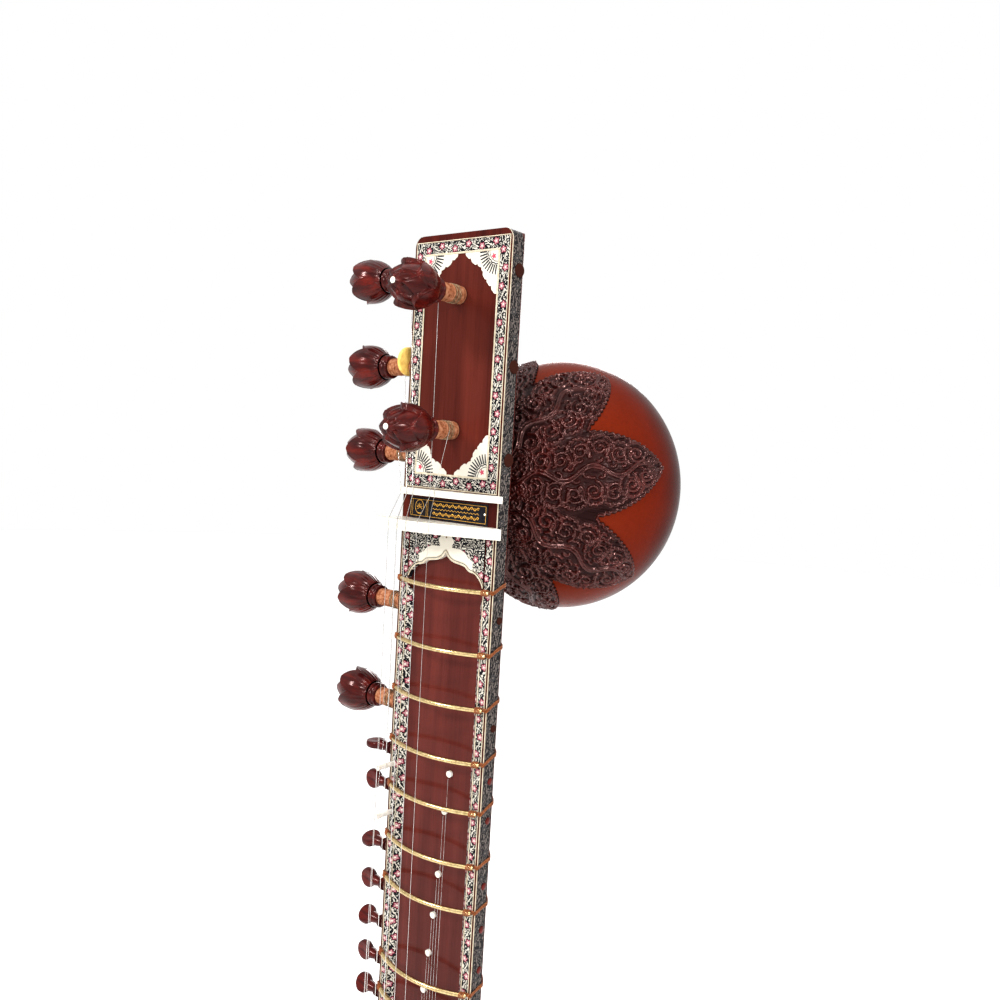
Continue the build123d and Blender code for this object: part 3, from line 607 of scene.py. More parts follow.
def face_strip(title, start, end, half, material, y=FACE_Y, lift=0.0, spacing=6.0, centre=0.0):
    """Straight flat strip on the face between two (x, z) points."""
    length = math.hypot(end[0] - start[0], end[1] - start[1])
    count = max(2, int(length / spacing) + 1)
    line = [(start[0] + (end[0] - start[0]) * i / (count - 1), start[1] + (end[1] - start[1]) * i / (count - 1)) for i in range(count)]
    points, faces, uvs = band_along(line, -half, half, lambda x, z: y, lift)
    uvs = [(u + centre, v) for u, v in uvs]
    piece = mesh_piece(title, points, faces, material, uvs=uvs)
    return piece


inlay_pieces = []
frame_sides = {
    "left": ((-1, 0), (-STRIP_OUT, FRAME_BOTTOM), (-STRIP_OUT, FRAME_TOP)),
    "right": ((1, 0), (STRIP_OUT, FRAME_BOTTOM), (STRIP_OUT, FRAME_TOP)),
}
PATTERN_HALF = 4.1
for word, side in (("left", -1), ("right", 1)):
    x_out = side * (STRIP_OUT - 0.35)
    x_mid = side * (STRIP_OUT - 0.8 - PATTERN_HALF)
    x_in = side * (WINDOW_HALF + 0.75)
    inlay_pieces.append(face_strip(f"frame_{word}_edge", (x_out, FRAME_BOTTOM), (x_out, FRAME_TOP), 0.4, cream_line, lift=0.1))
    inlay_pieces.append(face_strip(f"frame_{word}_flowers", (x_mid, FRAME_BOTTOM), (x_mid, FRAME_TOP - 0.7), PATTERN_HALF + 0.1, flower_inlay))
    inlay_pieces.append(face_strip(f"frame_{word}_inner", (x_in, WINDOW_BOTTOM), (x_in, WINDOW_TOP), 0.75, cream_line, lift=0.12))
for word, low, high in (("top", WINDOW_TOP, FRAME_TOP), ("bottom", FRAME_BOTTOM, WINDOW_BOTTOM)):
    middle = (low + high) / 2
    reach = WINDOW_HALF + 1.5
    flower_half = (high - low) / 2 - 1.1
    inlay_pieces.append(face_strip(f"frame_{word}_flowers", (-reach, middle), (reach, middle), flower_half, flower_inlay, centre=3.0))
    for index, z in enumerate((low, high)):
        outside = (word == "top") == (index == 1)
        half = 0.4 if outside else 0.75
        width = STRIP_OUT if outside else WINDOW_HALF + 1.5
        z_line = z - half if index else z + half
        if word == "bottom" or not outside or index:
            inlay_pieces.append(face_strip(f"frame_{word}_line_{index}", (-width, z_line), (width, z_line), half, cream_line, lift=0.1))


def fan_material():
    """Cream fan corner: flower in the corner, scalloped and plain rings, and rays."""
    material, tree, shader = new_material("fan_inlay", CREAM, 0.22, 0.05, 0.08)
    u, v, _ = split_xyz(tree, place_mm(tree, source="UV"))
    reach = calc(tree, "SQRT", calc(tree, "ADD", calc(tree, "MULTIPLY", u, u), calc(tree, "MULTIPLY", v, v)))
    turn = calc(tree, "ARCTAN2", v, u)
    scallop = calc(tree, "MULTIPLY", calc(tree, "ABSOLUTE", calc(tree, "SINE", calc(tree, "MULTIPLY", turn, 8.0))), 0.7)
    ring_gap = calc(tree, "ABSOLUTE", calc(tree, "SUBTRACT", reach, calc(tree, "ADD", scallop, 9.3)))
    ring = calc(tree, "LESS_THAN", ring_gap, 0.45)
    ring_two = calc(tree, "LESS_THAN", calc(tree, "ABSOLUTE", calc(tree, "SUBTRACT", reach, 8.0)), 0.25)
    ray_wave = calc(tree, "SINE", calc(tree, "MULTIPLY", turn, 40.0))
    taper = calc(tree, "MULTIPLY_ADD", reach, 0.19, -2.75)
    ray = calc(tree, "GREATER_THAN", ray_wave, taper)
    far = calc(tree, "LESS_THAN", reach, 17.5)
    near = calc(tree, "GREATER_THAN", reach, 10.6)
    rays = calc(tree, "MULTIPLY", ray, calc(tree, "MULTIPLY", far, near))
    marks = calc(tree, "MAXIMUM", calc(tree, "MAXIMUM", ring, ring_two), rays)
    du = calc(tree, "SUBTRACT", u, 4.0)
    dv = calc(tree, "SUBTRACT", v, 4.0)
    bloom = calc(tree, "SQRT", calc(tree, "ADD", calc(tree, "MULTIPLY", du, du), calc(tree, "MULTIPLY", dv, dv)))
    petals = calc(tree, "MULTIPLY_ADD", calc(tree, "COSINE", calc(tree, "MULTIPLY", calc(tree, "ARCTAN2", dv, du), 5.0)), 0.5, 1.7)
    in_bloom = calc(tree, "LESS_THAN", bloom, petals)
    colour = blend_colors(tree, marks, CREAM, (0.035, 0.035, 0.04))
    colour = blend_colors(tree, in_bloom, colour, (0.50, 0.09, 0.13))
    tree.links.new(colour, shader.inputs["Base Color"])
    add_bump(tree, shader, marks, 0.3, -0.1)
    return material


fan_inlay = fan_material()
FAN_EDGE = ((31.0, 0.0), (29.0, 3.2), (25.8, 4.2), (22.6, 8.4), (19.4, 8.6), (15.2, 11.4), (13.6, 14.6), (12.2, 19.0),
            (9.6, 20.2), (8.4, 23.4), (5.0, 25.4), (3.4, 29.2), (0.0, 31.0))


def fan_corner(title, side, top):
    """Stepped, scalloped corner piece; measured from the window's corner."""
    edge = []
    for (ax, az), (bx, bz) in zip(FAN_EDGE, FAN_EDGE[1:]):
        out = Vector((bz - az, ax - bx)).normalized()
        for k in range(5):
            t = k / 5
            bulge = 0.7 * math.sin(math.pi * t)
            edge.append((ax + (bx - ax) * t + abs(out.x) * bulge, az + (bz - az) * t + abs(out.y) * bulge))
    edge.append(FAN_EDGE[-1])
    corner_x = side * WINDOW_HALF
    corner_z = WINDOW_TOP if top else WINDOW_BOTTOM
    up = -1 if top else 1
    points = [(corner_x, FACE_Y + 0.1, corner_z)]
    uvs = [(0.0, 0.0)]
    for depth in (FACE_Y + 0.1, FACE_Y + 0.65):
        for x, z in edge:
            points.append((corner_x - side * x, depth, corner_z + up * z))
            uvs.append((x, z))
    count = len(edge)
    faces = [(0, 1 + i, 2 + i) for i in range(count - 1)]
    faces += [(1 + i, 1 + count + i, 2 + count + i, 2 + i) for i in range(count - 1)]
    if (side > 0) != top:
        faces = [face[::-1] for face in faces]
    piece = mesh_piece(title, points, faces, fan_inlay, uvs=uvs, smooth=False)
    return piece


for word, side in (("left", -1), ("right", 1)):
    inlay_pieces.append(fan_corner(f"fan_top_{word}", side, True))
    inlay_pieces.append(fan_corner(f"fan_bottom_{word}", side, False))

RAIL_TOP = NUT_Z - 11
for word, side in (("left", -1), ("right", 1)):
    outer_x = side * (STRIP_OUT - 0.35)
    strip_x = side * (STRIP_OUT - 3.8)
    inlay_pieces.append(face_strip(f"rail_{word}_edge", (outer_x, BOARD_START + 4), (outer_x, RAIL_TOP), 0.4, cream_line, lift=0.1))
    inlay_pieces.append(face_strip(f"rail_{word}_flowers", (strip_x, BOARD_START + 4), (strip_x, RAIL_TOP), 3.0, flower_inlay, centre=5.0 * side))
    line_x = side * (NECK_HALF - 8.6)
    inlay_pieces.append(face_strip(f"rail_{word}_line", (line_x, BOARD_START + 4), (line_x, NUT_Z - 50), 0.45, cream_line, lift=0.14))
    points, faces, uvs = [], [], []
    top = NUT_Z - 54
    stations = 260
    for i in range(stations + 1):
        z = BOARD_START + 2 + (top - BOARD_START - 2) * i / stations
        near_top = min(1.0, (top - z) / 9.0)
        grow = math.sin(0.5 * math.pi * near_top) ** 1.5
        scallop = 0.35 * abs(math.sin(z / 5.0 * math.pi))
        width = grow * (4.2 + scallop)
        for k in range(6):
            t = k / 5
            x = side * (NECK_HALF - 9.05 - width * t)
            y = FACE_Y - 0.12 + (3.95 * t ** 0.7) * min(1.0, grow + 0.05)
            points.append((x, y, z))
            uvs.append((z, (t - 0.5) * 4.4))
    for i in range(stations):
        for k in range(5):
            quad = (i * 6 + k, i * 6 + k + 1, i * 6 + k + 7, i * 6 + k + 6)
            faces.append(quad if side < 0 else quad[::-1])
    moulding = mesh_piece(f"rail_{word}_moulding", points, faces, flower_inlay, uvs=uvs)
    inlay_pieces.append(moulding)


# ---- Arch panel --------------------------------------------------------------
# Below the nut the fingerboard starts under a cut-out ogee arch. The panel is thick
# celluloid with flowers in its corners and a plain cream rim along the cut.
ARCH_TIP = (0.0, NUT_Z - 25.9)
ARCH_FOOT = (37.4, NUT_Z - 50.0)
ARCH_SHAPE = ((0.0, 0.0), (2.6, -3.6), (7.6, -6.4), (14.0, -7.6), (19.0, -8.6), (22.2, -11.0), (24.6, -12.0),
              (28.6, -12.9), (32.6, -15.6), (35.4, -19.4), (37.4, -24.1))


def arch_curve(count=10):
    """Left foot to right foot over the point, smoothed between its few shape points."""
    half = []
    shape = ARCH_SHAPE
    for i in range(len(shape) - 1):
        before = shape[max(i - 1, 0)] if i else shape[0]
        a, b = shape[i], shape[i + 1]
        after = shape[min(i + 2, len(shape) - 1)]
        for k in range(count):
            t = k / count
            point = []
            for p0, p1, p2, p3 in zip(before, a, b, after):
                point.append(0.5 * (2 * p1 + (p2 - p0) * t + (2 * p0 - 5 * p1 + 4 * p2 - p3) * t ** 2
                                    + (3 * p1 - p0 - 3 * p2 + p3) * t ** 3))
            half.append((point[0], ARCH_TIP[1] + point[1]))
    half.append((shape[-1][0], ARCH_TIP[1] + shape[-1][1]))
    left = [(-x, z) for x, z in half[::-1]]
    return left[:-1] + half


arch = arch_curve()
for title, inner, outer, material, lift in (("arch_rim", 0.0, 1.5, cream_line, 0.12), ("arch_ink", 1.5, 2.0, ink_line_material, 0.14),
                                            ("arch_rim_outer", 2.0, 2.6, cream_line, 0.12)):
    clipped = [(x, z) for x, z in arch if abs(x) < 36.9]
    points, faces, uvs = band_along(clipped, inner, outer, lambda x, z: FACE_Y, lift)
    points = [(max(-37.9, min(37.9, x)), y, z) for x, y, z in points]
    rim = mesh_piece(title, points, faces, material, uvs=uvs)
    inlay_pieces.append(rim)


def arch_panel_material():
    """Cream panel; leaves and flowers fill its two upper corners, away from the arch's point."""
    material = celluloid_material("arch_panel_inlay", INK, CREAM, PINK, (0.30, 0.29, 0.27), period=11.5, swing=2.6, folded=True)
    tree = material.node_tree
    shader = tree.nodes["Principled BSDF"]
    pattern = shader.inputs["Base Color"].links[0].from_socket
    x, y, z = split_xyz(tree, place_mm(tree))
    side = calc(tree, "ABSOLUTE", x)
    fall = calc(tree, "SUBTRACT", NUT_Z - 11, z)
    wobble = calc(tree, "MULTIPLY", calc(tree, "SINE", calc(tree, "MULTIPLY", z, 0.9)), 1.0)
    slant = calc(tree, "ADD", calc(tree, "MULTIPLY_ADD", fall, -0.10, side), wobble)
    clear = calc(tree, "LESS_THAN", slant, 6.0)
    slope = calc(tree, "ADD", calc(tree, "MULTIPLY_ADD", side, 0.62, calc(tree, "MULTIPLY", wobble, 0.6)), 2.0)
    low = calc(tree, "GREATER_THAN", fall, calc(tree, "MINIMUM", calc(tree, "MAXIMUM", slope, 11.0), 19.0))
    near = calc(tree, "MULTIPLY", low, calc(tree, "LESS_THAN", side, 27.0))
    colour = blend_colors(tree, calc(tree, "MAXIMUM", clear, near), pattern, CREAM)
    aside = calc(tree, "MULTIPLY", x, x)
    below = calc(tree, "SUBTRACT", fall, 3.6)
    dot = calc(tree, "LESS_THAN", calc(tree, "ADD", aside, calc(tree, "MULTIPLY", below, below)), 0.5)
    colour = blend_colors(tree, dot, colour, (0.16, 0.10, 0.05))
    tree.links.new(colour, shader.inputs["Base Color"])
    return material


arch_inlay = arch_panel_material()
columns = [(x, z) for x, z in arch if abs(x) <= 37.4]
points, faces = [], []
for x, z in columns:
    points += [(x, FACE_Y + 4, z), (x, FACE_Y, z), (x, FACE_Y, (z + RAIL_TOP) / 2), (x, FACE_Y, RAIL_TOP)]
for i in range(len(columns) - 1):
    for k in range(3):
        faces.append((i * 4 + k, i * 4 + 4 + k, i * 4 + 5 + k, i * 4 + k + 1))
arch_piece = mesh_piece("arch_panel", points, faces, arch_inlay, sharp=40)
inlay_pieces.append(arch_piece)
for piece in inlay_pieces:
    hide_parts("face_inlays")


# ---- Label plate -------------------------------------------------------------
# A thin black plate lies between the two bone plates, drawn with gold lines and
# held by a small nail. Its ornament is a plain lotus and a running leaf scroll.
LABEL = (-39.5, 38.5, NUT_Z - 2.5, NUT_Z + 13.3)
LABEL_Y = FACE_Y + 0.6 - 0.8
label_black, label_tree, label_shader = new_material("label_black", (0.012, 0.012, 0.018), 0.35)
label_grain = noise(label_tree, place_mm(label_tree), 0.7, 4)
label_tree.links.new(color_ramp(label_tree, label_grain, [(0.3, (0.008, 0.008, 0.012)), (0.75, (0.03, 0.03, 0.036))]),
                     label_shader.inputs["Base Color"])
paint("label_plate", label_black)
gold_material, gold_tree, gold_shader = new_material("label_gold", (0.75, 0.42, 0.08), 0.35)
gold_shader.inputs["Metallic"].default_value = 0.55
gold_wear = noise(gold_tree, place_mm(gold_tree), 0.9, 4)
gold_tree.links.new(color_ramp(gold_tree, gold_wear, [(0.3, (0.42, 0.20, 0.03)), (0.6, (0.85, 0.50, 0.11))]),
                    gold_shader.inputs["Base Color"])


def gold_line(title, line, half):
    """Thin raised gold line on the label."""
    points, faces, uvs = band_along(line, -half, half, lambda x, z: LABEL_Y, 0.1)
    mesh_piece(title, points, faces, gold_material, uvs=uvs)


def oval(cx, cz, rx, rz, count=36, start=0.0, end=360.0):
    turns = [math.radians(start + (end - start) * i / count) for i in range(count + 1)]
    return [(cx + rx * math.cos(t), cz + rz * math.sin(t)) for t in turns]


left, right, low, high = LABEL
inset = 1.6
border = [(left + inset, low + inset), (right - inset, low + inset), (right - inset, high - inset), (left + inset, high - inset),
          (left + inset, low + inset)]
for number, (a, b) in enumerate(zip(border, border[1:])):
    gold_line(f"label_border_{number}", [a, b], 0.28)
for number, x in enumerate((left + 3.4, left + 17.6, left + 19.2)):
    gold_line(f"label_bar_{number}", [(x, low + inset), (x, high - inset)], 0.22)
emblem = (left + 10.5, (low + high) / 2)
gold_line("label_oval", oval(emblem[0], emblem[1] + 0.6, 4.3, 5.3), 0.35)
for number in range(7):
    turn = math.radians(90 + (number - 3) * 38)
    tip = (emblem[0] + 3.0 * math.cos(turn), emblem[1] + 0.2 + 3.4 * math.sin(turn))
    middle = (emblem[0] + 1.6 * math.cos(turn + 0.25), emblem[1] + 0.2 + 1.8 * math.sin(turn + 0.25))
    gold_line(f"label_petal_{number}", [(emblem[0], emblem[1] + 0.2), middle, tip], 0.32)
gold_line("label_lotus_foot", oval(emblem[0], emblem[1] - 3.2, 2.6, 1.0, 18, 180, 360), 0.35)
middle_z = (low + high) / 2
scroll_start = left + 24
for row, (height, swing, step) in enumerate(((3.6, 1.2, 6.2), (0.1, 0.45, 3.1), (-3.4, 1.2, 6.2))):
    wave = []
    for i in range(121):
        x = scroll_start + 46.0 * i / 120
        wave.append((x, middle_z + height + swing * math.sin((x - scroll_start) / step * 2 * math.pi)))
    gold_line(f"label_scroll_{row}", wave, 0.3 if row == 1 else 0.42)
    if row != 1:
        for k in range(15):
            x = scroll_start + 1.55 + 3.1 * k
            turn = 1 if k % 2 else -1
            leaf = oval(x, middle_z + height - turn * 0.2, 0.75, 0.75, 10)
            gold_line(f"label_leaf_{row}_{k}", leaf, 0.28)

nail_points, nail_faces = [], []
for ring, (radius, rise) in enumerate(((1.1, 0.0), (1.05, 0.35), (0.75, 0.6), (0.35, 0.72))):
    for k in range(16):
        turn = 2 * math.pi * k / 16
        nail_points.append((right - 2.6 + radius * math.cos(turn), LABEL_Y - rise, middle_z + 0.5 + radius * math.sin(turn)))
for ring in range(3):
    for k in range(16):
        nail_faces.append((ring * 16 + k, ring * 16 + (k + 1) % 16, (ring + 1) * 16 + (k + 1) % 16, (ring + 1) * 16 + k))
nail_faces.append(tuple(48 + k for k in range(16)))


def metal_material(name, dark, light, roughness, scale=0.5):
    """Rubbed metal with faint tarnish."""
    material, tree, shader = new_material(name, light, roughness)
    shader.inputs["Metallic"].default_value = 1.0
    cloud = noise(tree, place_mm(tree), scale, 5, 0.65)
    tree.links.new(color_ramp(tree, cloud, [(0.32, dark), (0.60, light)]), shader.inputs["Base Color"])
    vary_roughness(tree, shader, cloud, roughness * 1.5, roughness * 0.7)
    return material


nail_metal = metal_material("nail_metal", (0.55, 0.50, 0.40), (0.88, 0.85, 0.78), 0.25)
mesh_piece("label_nail", nail_points, nail_faces, nail_metal)


# ---- Bone plates -------------------------------------------------------------
# Two plates of white bone stand across the neck: a low guide and the tall nut.
# Both overhang the face, are rounded by filing and carry the strings in notches.
bone = plain_celluloid("bone", (0.76, 0.74, 0.69), (0.64, 0.61, 0.53))
for plate in ("string_guide", "nut_plate"):
    paint(plate, bone)
    smooth_node(plate)
    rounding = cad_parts[plate].modifiers.new("filed_edges", "BEVEL")
    rounding.width = 0.0014
    rounding.segments = 3
    rounding.limit_method = "ANGLE"
    rounding.angle_limit = math.radians(40)


# ---- Upper gourd -------------------------------------------------------------
# A second, smaller gourd screws onto a wooden boss behind the neck. It is stained
# orange-red under the same high polish, with painted shade darkening it to dark brown at its rim.
upper_low, upper_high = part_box("upper_gourd")
UPPER_CENTRE = (0.0, (upper_low.y + upper_high.y) * 500, (upper_low.z + upper_high.z) * 500)
UPPER_R = (upper_high.x - upper_low.x) * 500
UPPER_DEPTH = (upper_high.y - upper_low.y) * 500
paint("upper_gourd", gourd_material("upper_gourd_lacquer", UPPER_CENTRE, UPPER_R, UPPER_DEPTH, "front"))
smooth_node("upper_gourd")
boss_wood = wood_material("boss_wood", (0.15, 0.045, 0.020), (0.32, 0.11, 0.05), 0.4, grain=(0.4, 0.05, 0.4), coat=0.0)
paint("gourd_boss", boss_wood)
paint("upper_gourd_stud", boss_wood)
smooth_node("gourd_boss")
smooth_node("upper_gourd_stud")


# ---- Carved leaves of the upper gourd ------------------------------------------
# Eight pointed leaves of carved wood radiate from the boss, glued to the shell.
# Their edges are toothed and their faces covered with scrollwork, lacquered dark, with painted shade in the carving's
# recesses.
LEAF_AZIMUTHS = (11.5, 59.0, 105.0, 150.0, 193.0, 236.0, 278.0, 320.7)
LEAF_TIPS = (86.0, 80.0, 83.0, 87.0, 82.0, 86.0, 80.0, 87.0)
LEAF_NOTCH = 51.0
LEAF_BASE = 1.0
LEAF_RELIEF = 2.3
TOOTH = 5.2


def carved_material():
    """Dark maroon lacquer, a little redder in places, under a wet-looking gloss, with painted shade darkening the
    recesses between the carved ridges.
    """
    material, tree, shader = new_material("carved_lacquer", (0.06, 0.009, 0.009), 0.20, 0.06, 0.10)
    cloud = noise(tree, place_mm(tree), 0.05, 3)
    fine = noise(tree, place_mm(tree), 0.6, 3)
    tone = color_ramp(tree, cloud, [(0.35, (0.030, 0.004, 0.003)), (0.52, (0.048, 0.006, 0.004)), (0.68, (0.080, 0.009, 0.006))])
    colour = blend_colors(tree, calc(tree, "MULTIPLY", fine, 0.35), tone, (0.022, 0.004, 0.005))
    shader.inputs["IOR"].default_value = 1.50
    shader.inputs["Specular Tint"].default_value = (1.0, 0.60, 0.56, 1.0)
    # Painted shade: where the carving's rise (stored in the UV) is low, the colour goes almost black and the specular
    # level drops, standing for shade in the recesses.
    crest = step_between(tree, split_xyz(tree, place_mm(tree, source="UV"))[0], 0.04, 0.62)
    tree.links.new(calc(tree, "MULTIPLY_ADD", crest, 0.72, 0.12), shader.inputs["Specular IOR Level"])
    tree.links.new(blend_colors(tree, crest, (0.016, 0.004, 0.004), colour), shader.inputs["Base Color"])
    vary_roughness(tree, shader, crest, 0.36, 0.11)
    add_bump(tree, shader, fine, 0.12, 0.25)
    return material


carved_lacquer = carved_material()


def spiral_points(x, y, size, start, direction, turns=1.35):
    """Points along a scroll that curls inwards."""
    points = []
    count = int(size * 14)
    for k in range(count + 1):
        t = k / count
        radius = size * (1 - 0.80 * t ** 0.85)
        angle = start + direction * 2 * math.pi * turns * t
        points.append((x + radius * math.cos(angle), y + radius * math.sin(angle), 0.0))
    return points


def carving_lines(azimuths, tips, notch, arc, seed, scale=1.0):
    """Centre lines of the scrollwork in the flat map, as a nearest-point tree."""
    rng = random.Random(seed)
    points = []
    leaves = []
    for number, azimuth in enumerate(azimuths):
        a = math.radians(azimuth)
        length = arc * math.radians(tips[number]) - 3
        notch_at = arc * math.radians(notch)
        wide = notch_at * math.sin(math.pi / len(azimuths))
        leaves.append((a, length, notch_at, wide))

    def half_width(leaf, s):
        _, length, notch_at, wide = leaf
        if s < notch_at:
            return wide * s / notch_at
        return wide * max(0.0, 1 - ((s - notch_at) / (length - notch_at)) ** 1.7)

    def flat(leaf, s, n):
        a = leaf[0]
        return s * math.cos(a) - n * math.sin(a), s * math.sin(a) + n * math.cos(a)

    for number, leaf in enumerate(leaves):
        a, length, notch_at, wide = leaf
        phase = rng.uniform(0, 2 * math.pi)
        s = 15.0
        while s < length - 7:
            room = min(1.0, half_width(leaf, s) / 16)
            n = 5.2 * room * math.sin(2 * math.pi * s / (44 * scale) + phase)
            for offset in (-1.3, 1.3):
                points.append((*flat(leaf, s, n + offset), 0.0))
            s += 0.5
        s = 20.0
        side = 1 if number % 2 else -1
        while s < length - 8:
            width = half_width(leaf, s + 3)
            size = max(2.2, min(8.6 * scale, 0.46 * width)) * rng.uniform(0.92, 1.05)
            sway = 5.2 * min(1.0, width / 16) * math.sin(2 * math.pi * s / (44 * scale) + phase)
            centre = flat(leaf, s, side * (0.50 * width + 1.4) + 0.45 * sway)
            start = a - side * rng.uniform(0.6, 1.4)
            direction = side * rng.choice((1, 1, -1))
            points.extend(spiral_points(centre[0], centre[1], size, start, direction, 1.2 if size < 5 else 1.5))
            lobes = int(size * 1.3)
            for k in range(lobes):
                turn = start + side * math.pi * (0.30 + 1.3 * k / lobes)
                lobe = (centre[0] + (size + 2.1) * math.cos(turn), centre[1] + (size + 2.1) * math.sin(turn))
                for m in range(9):
                    bend = turn - 1.5 + 3.0 * m / 8
                    points.append((lobe[0] + 1.5 * math.cos(bend), lobe[1] + 1.5 * math.sin(bend), 0.0))
            side = -side
            s += 0.95 * size * rng.uniform(0.9, 1.1)
    # Short leaflets fill whatever ground is still empty.
    for _ in range(4):
        nearest = kdtree.KDTree(len(points))
        for index, point in enumerate(points):
            nearest.insert(point, index)
        nearest.balance()
        added = []
        for _ in range(2600):
            leaf = rng.choice(leaves)
            s = rng.uniform(12, leaf[1] - 3)
            width = half_width(leaf, s) - 1.6
            if width <= 1:
                continue
            x, y = flat(leaf, s, rng.uniform(-width, width))
            if nearest.find((x, y, 0.0))[2] < 3.1 or any(math.hypot(x - p, y - q) < 5.2 for p, q in added):
                continue
            added.append((x, y))
            heading = math.atan2(y, x) + rng.uniform(-0.9, 0.9)
            bend = rng.choice((-1, 1)) * rng.uniform(0.25, 0.5)
            for k in range(11):
                step = -2.4 + 0.48 * k
                points.append((x + step * math.cos(heading + bend * step * 0.5), y + step * math.sin(heading + bend * step * 0.5), 0.0))
    nearest = kdtree.KDTree(len(points))
    for index, point in enumerate(points):
        nearest.insert(point, index)
    nearest.balance()
    return nearest


def star_edge(azimuth, azimuths, tips, notch):
    """Polar angle of the leaves' outline at an azimuth, and how far it is from the leaf's axis."""
    count = len(azimuths)
    best = None
    for index in range(count):
        centre = azimuths[index]
        after = azimuths[(index + 1) % count] + (360 if index == count - 1 else 0)
        before = azimuths[index - 1] - (360 if index == 0 else 0)
        offset = (azimuth - centre + 180) % 360 - 180
        half = (after - centre) / 2 if offset >= 0 else (centre - before) / 2
        part = abs(offset) / half
        if part <= 1.0 + 1e-9 and (best is None or part < best[0]):
            best = (part, index)
    part, index = best
    curve = 1 - 0.80 * part ** 1.55 - 0.20 * part ** 0.7
    return notch + (tips[index] - notch) * curve, part


def toothed_outline(azimuths, tips, notch, columns, low, high, arc):
    """Flat places of the outline, pushed out and in by small carved teeth."""
    flat, parts = [], []
    for column in range(columns + 1):
        azimuth = low + (high - low) * column / columns
        edge, part = star_edge(azimuth, azimuths, tips, notch)
        rho = math.radians(edge) * arc
        flat.append((rho * math.cos(math.radians(azimuth)), rho * math.sin(math.radians(azimuth))))
        parts.append(part)
    outline = []
    run = 0.0
    for column, (x, y) in enumerate(flat):
        before = flat[max(column - 1, 0)]
        after = flat[min(column + 1, columns)]
        run += math.hypot(x - before[0], y - before[1])
        along = Vector((after[0] - before[0], after[1] - before[1]))
        along = along.normalized() if along.length > 0 else Vector((1, 0))
        push = 2.2 * abs(math.sin(math.pi * run / TOOTH)) - 2.2
        outline.append((x + along.y * push, y - along.x * push))
    return outline, parts


def leaf_sheet(title, azimuths, tips, notch, start, columns, rows, to_place, seed, material, body, scale=1.0):
    """Carved sheet from a start angle out to the leaves' toothed edge."""
    arc = to_place.arc
    nearest = carving_lines(azimuths, tips, notch, arc, seed, scale)
    low, high = to_place.span
    closed = high - low >= 360
    outline, parts = toothed_outline(azimuths, tips, notch, columns, low, high, arc)
    edge_tree = kdtree.KDTree(len(outline))
    for index, (x, y) in enumerate(outline):
        edge_tree.insert((x, y, 0.0), index)
    edge_tree.balance()
    inner = math.radians(start) * arc
    total = columns if closed else columns + 1
    points, faces, heights = [], [], []
    for column in range(total):
        azimuth = math.radians(low + (high - low) * column / columns)
        out_x, out_y = outline[column]
        in_x, in_y = inner * math.cos(azimuth), inner * math.sin(azimuth)
        for row in range(rows + 1):
            t = row / rows
            x, y = in_x + (out_x - in_x) * t, in_y + (out_y - in_y) * t
            border = edge_tree.find((x, y, 0.0))[2]
            line = nearest.find((x, y, 0.0))[2]
            ridge = math.exp(-(line / 1.25) ** 2) + 0.16 * math.exp(-((line - 3.0) / 0.7) ** 2)
            rim = 0.8 * math.exp(-((border - 1.6) / 0.8) ** 2)
            rise = LEAF_BASE + LEAF_RELIEF * min(1.0, max(ridge, rim))
            if border < 0.8:
                rise = min(rise, 0.5 + 1.6 * border)
            polar = math.degrees(math.hypot(x, y) / arc)
            points.append(to_place(math.degrees(math.atan2(y, x)), polar, rise))
            # The rise also goes into the UV, where the carved lacquer paints shade into the recesses.
            heights.append(((rise - LEAF_BASE) / LEAF_RELIEF, 0.0))
        polar = math.degrees(math.hypot(out_x, out_y) / arc)
        points.append(to_place(math.degrees(math.atan2(out_y, out_x)), polar, -0.4))
        heights.append((0.0, 0.0))
    stride = rows + 2
    for column in range(columns):
        after = (column + 1) % total
        for row in range(rows + 1):
            faces.append((column * stride + row, column * stride + row + 1, after * stride + row + 1, after * stride + row))
    return mesh_piece(title, points, faces, material, body=body, uvs=heights)


class FrontGourdPlace:
    """Place on the upper gourd from azimuth (X towards Z), angle from the front pole and height."""

    arc = UPPER_R * 0.98
    span = (0.0, 360.0)

    def __call__(self, azimuth, polar, rise):
        a, p = math.radians(azimuth), math.radians(polar)
        radius = UPPER_R * math.sin(p)
        x, z, y = radius * math.cos(a), radius * math.sin(a), -UPPER_DEPTH * math.cos(p)
        normal = Vector((x / UPPER_R ** 2, y / UPPER_DEPTH ** 2, z / UPPER_R ** 2)).normalized()
        return (x + normal.x * rise, UPPER_CENTRE[1] + y + normal.y * rise, UPPER_CENTRE[2] + z + normal.z * rise)


detail = 1.0
upper_leaves = leaf_sheet("upper_gourd_carving", LEAF_AZIMUTHS, LEAF_TIPS, LEAF_NOTCH, 9.0, int(1440 * detail), int(220 * detail),
                          FrontGourdPlace(), 7, carved_lacquer, "upper_gourd")
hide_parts("upper_gourd_leaves")


# ---- Carved leaves of the throat -----------------------------------------------
# The same carving runs round the joint of throat and main gourd, with seven long
# leaves that hang down over the back of the shell.
BACK_AZIMUTHS = tuple(range(-75, 285, 30))
BACK_TIPS = (92.0, 97.0, 92.0, 92.0, 97.0, 92.0) + (80.0,) * 6


class BackGourdPlace:
    """Place on the main gourd from azimuth (from +Y towards +X), angle from the top pole and height."""

    arc = GOURD_R * 0.97
    span = (-89.0, 89.0)

    def __call__(self, azimuth, polar, rise):
        a, p = math.radians(azimuth), math.radians(polar)
        radius = math.sin(p)
        x, y, z = GOURD_R * radius * math.sin(a), GOURD_DEPTH * radius * math.cos(a), GOURD_R * math.cos(p)
        normal = Vector((x / GOURD_R ** 2, y / GOURD_DEPTH ** 2, z / GOURD_R ** 2)).normalized()
        return (x + normal.x * rise, y + normal.y * rise, GOURD_R + z + normal.z * rise)


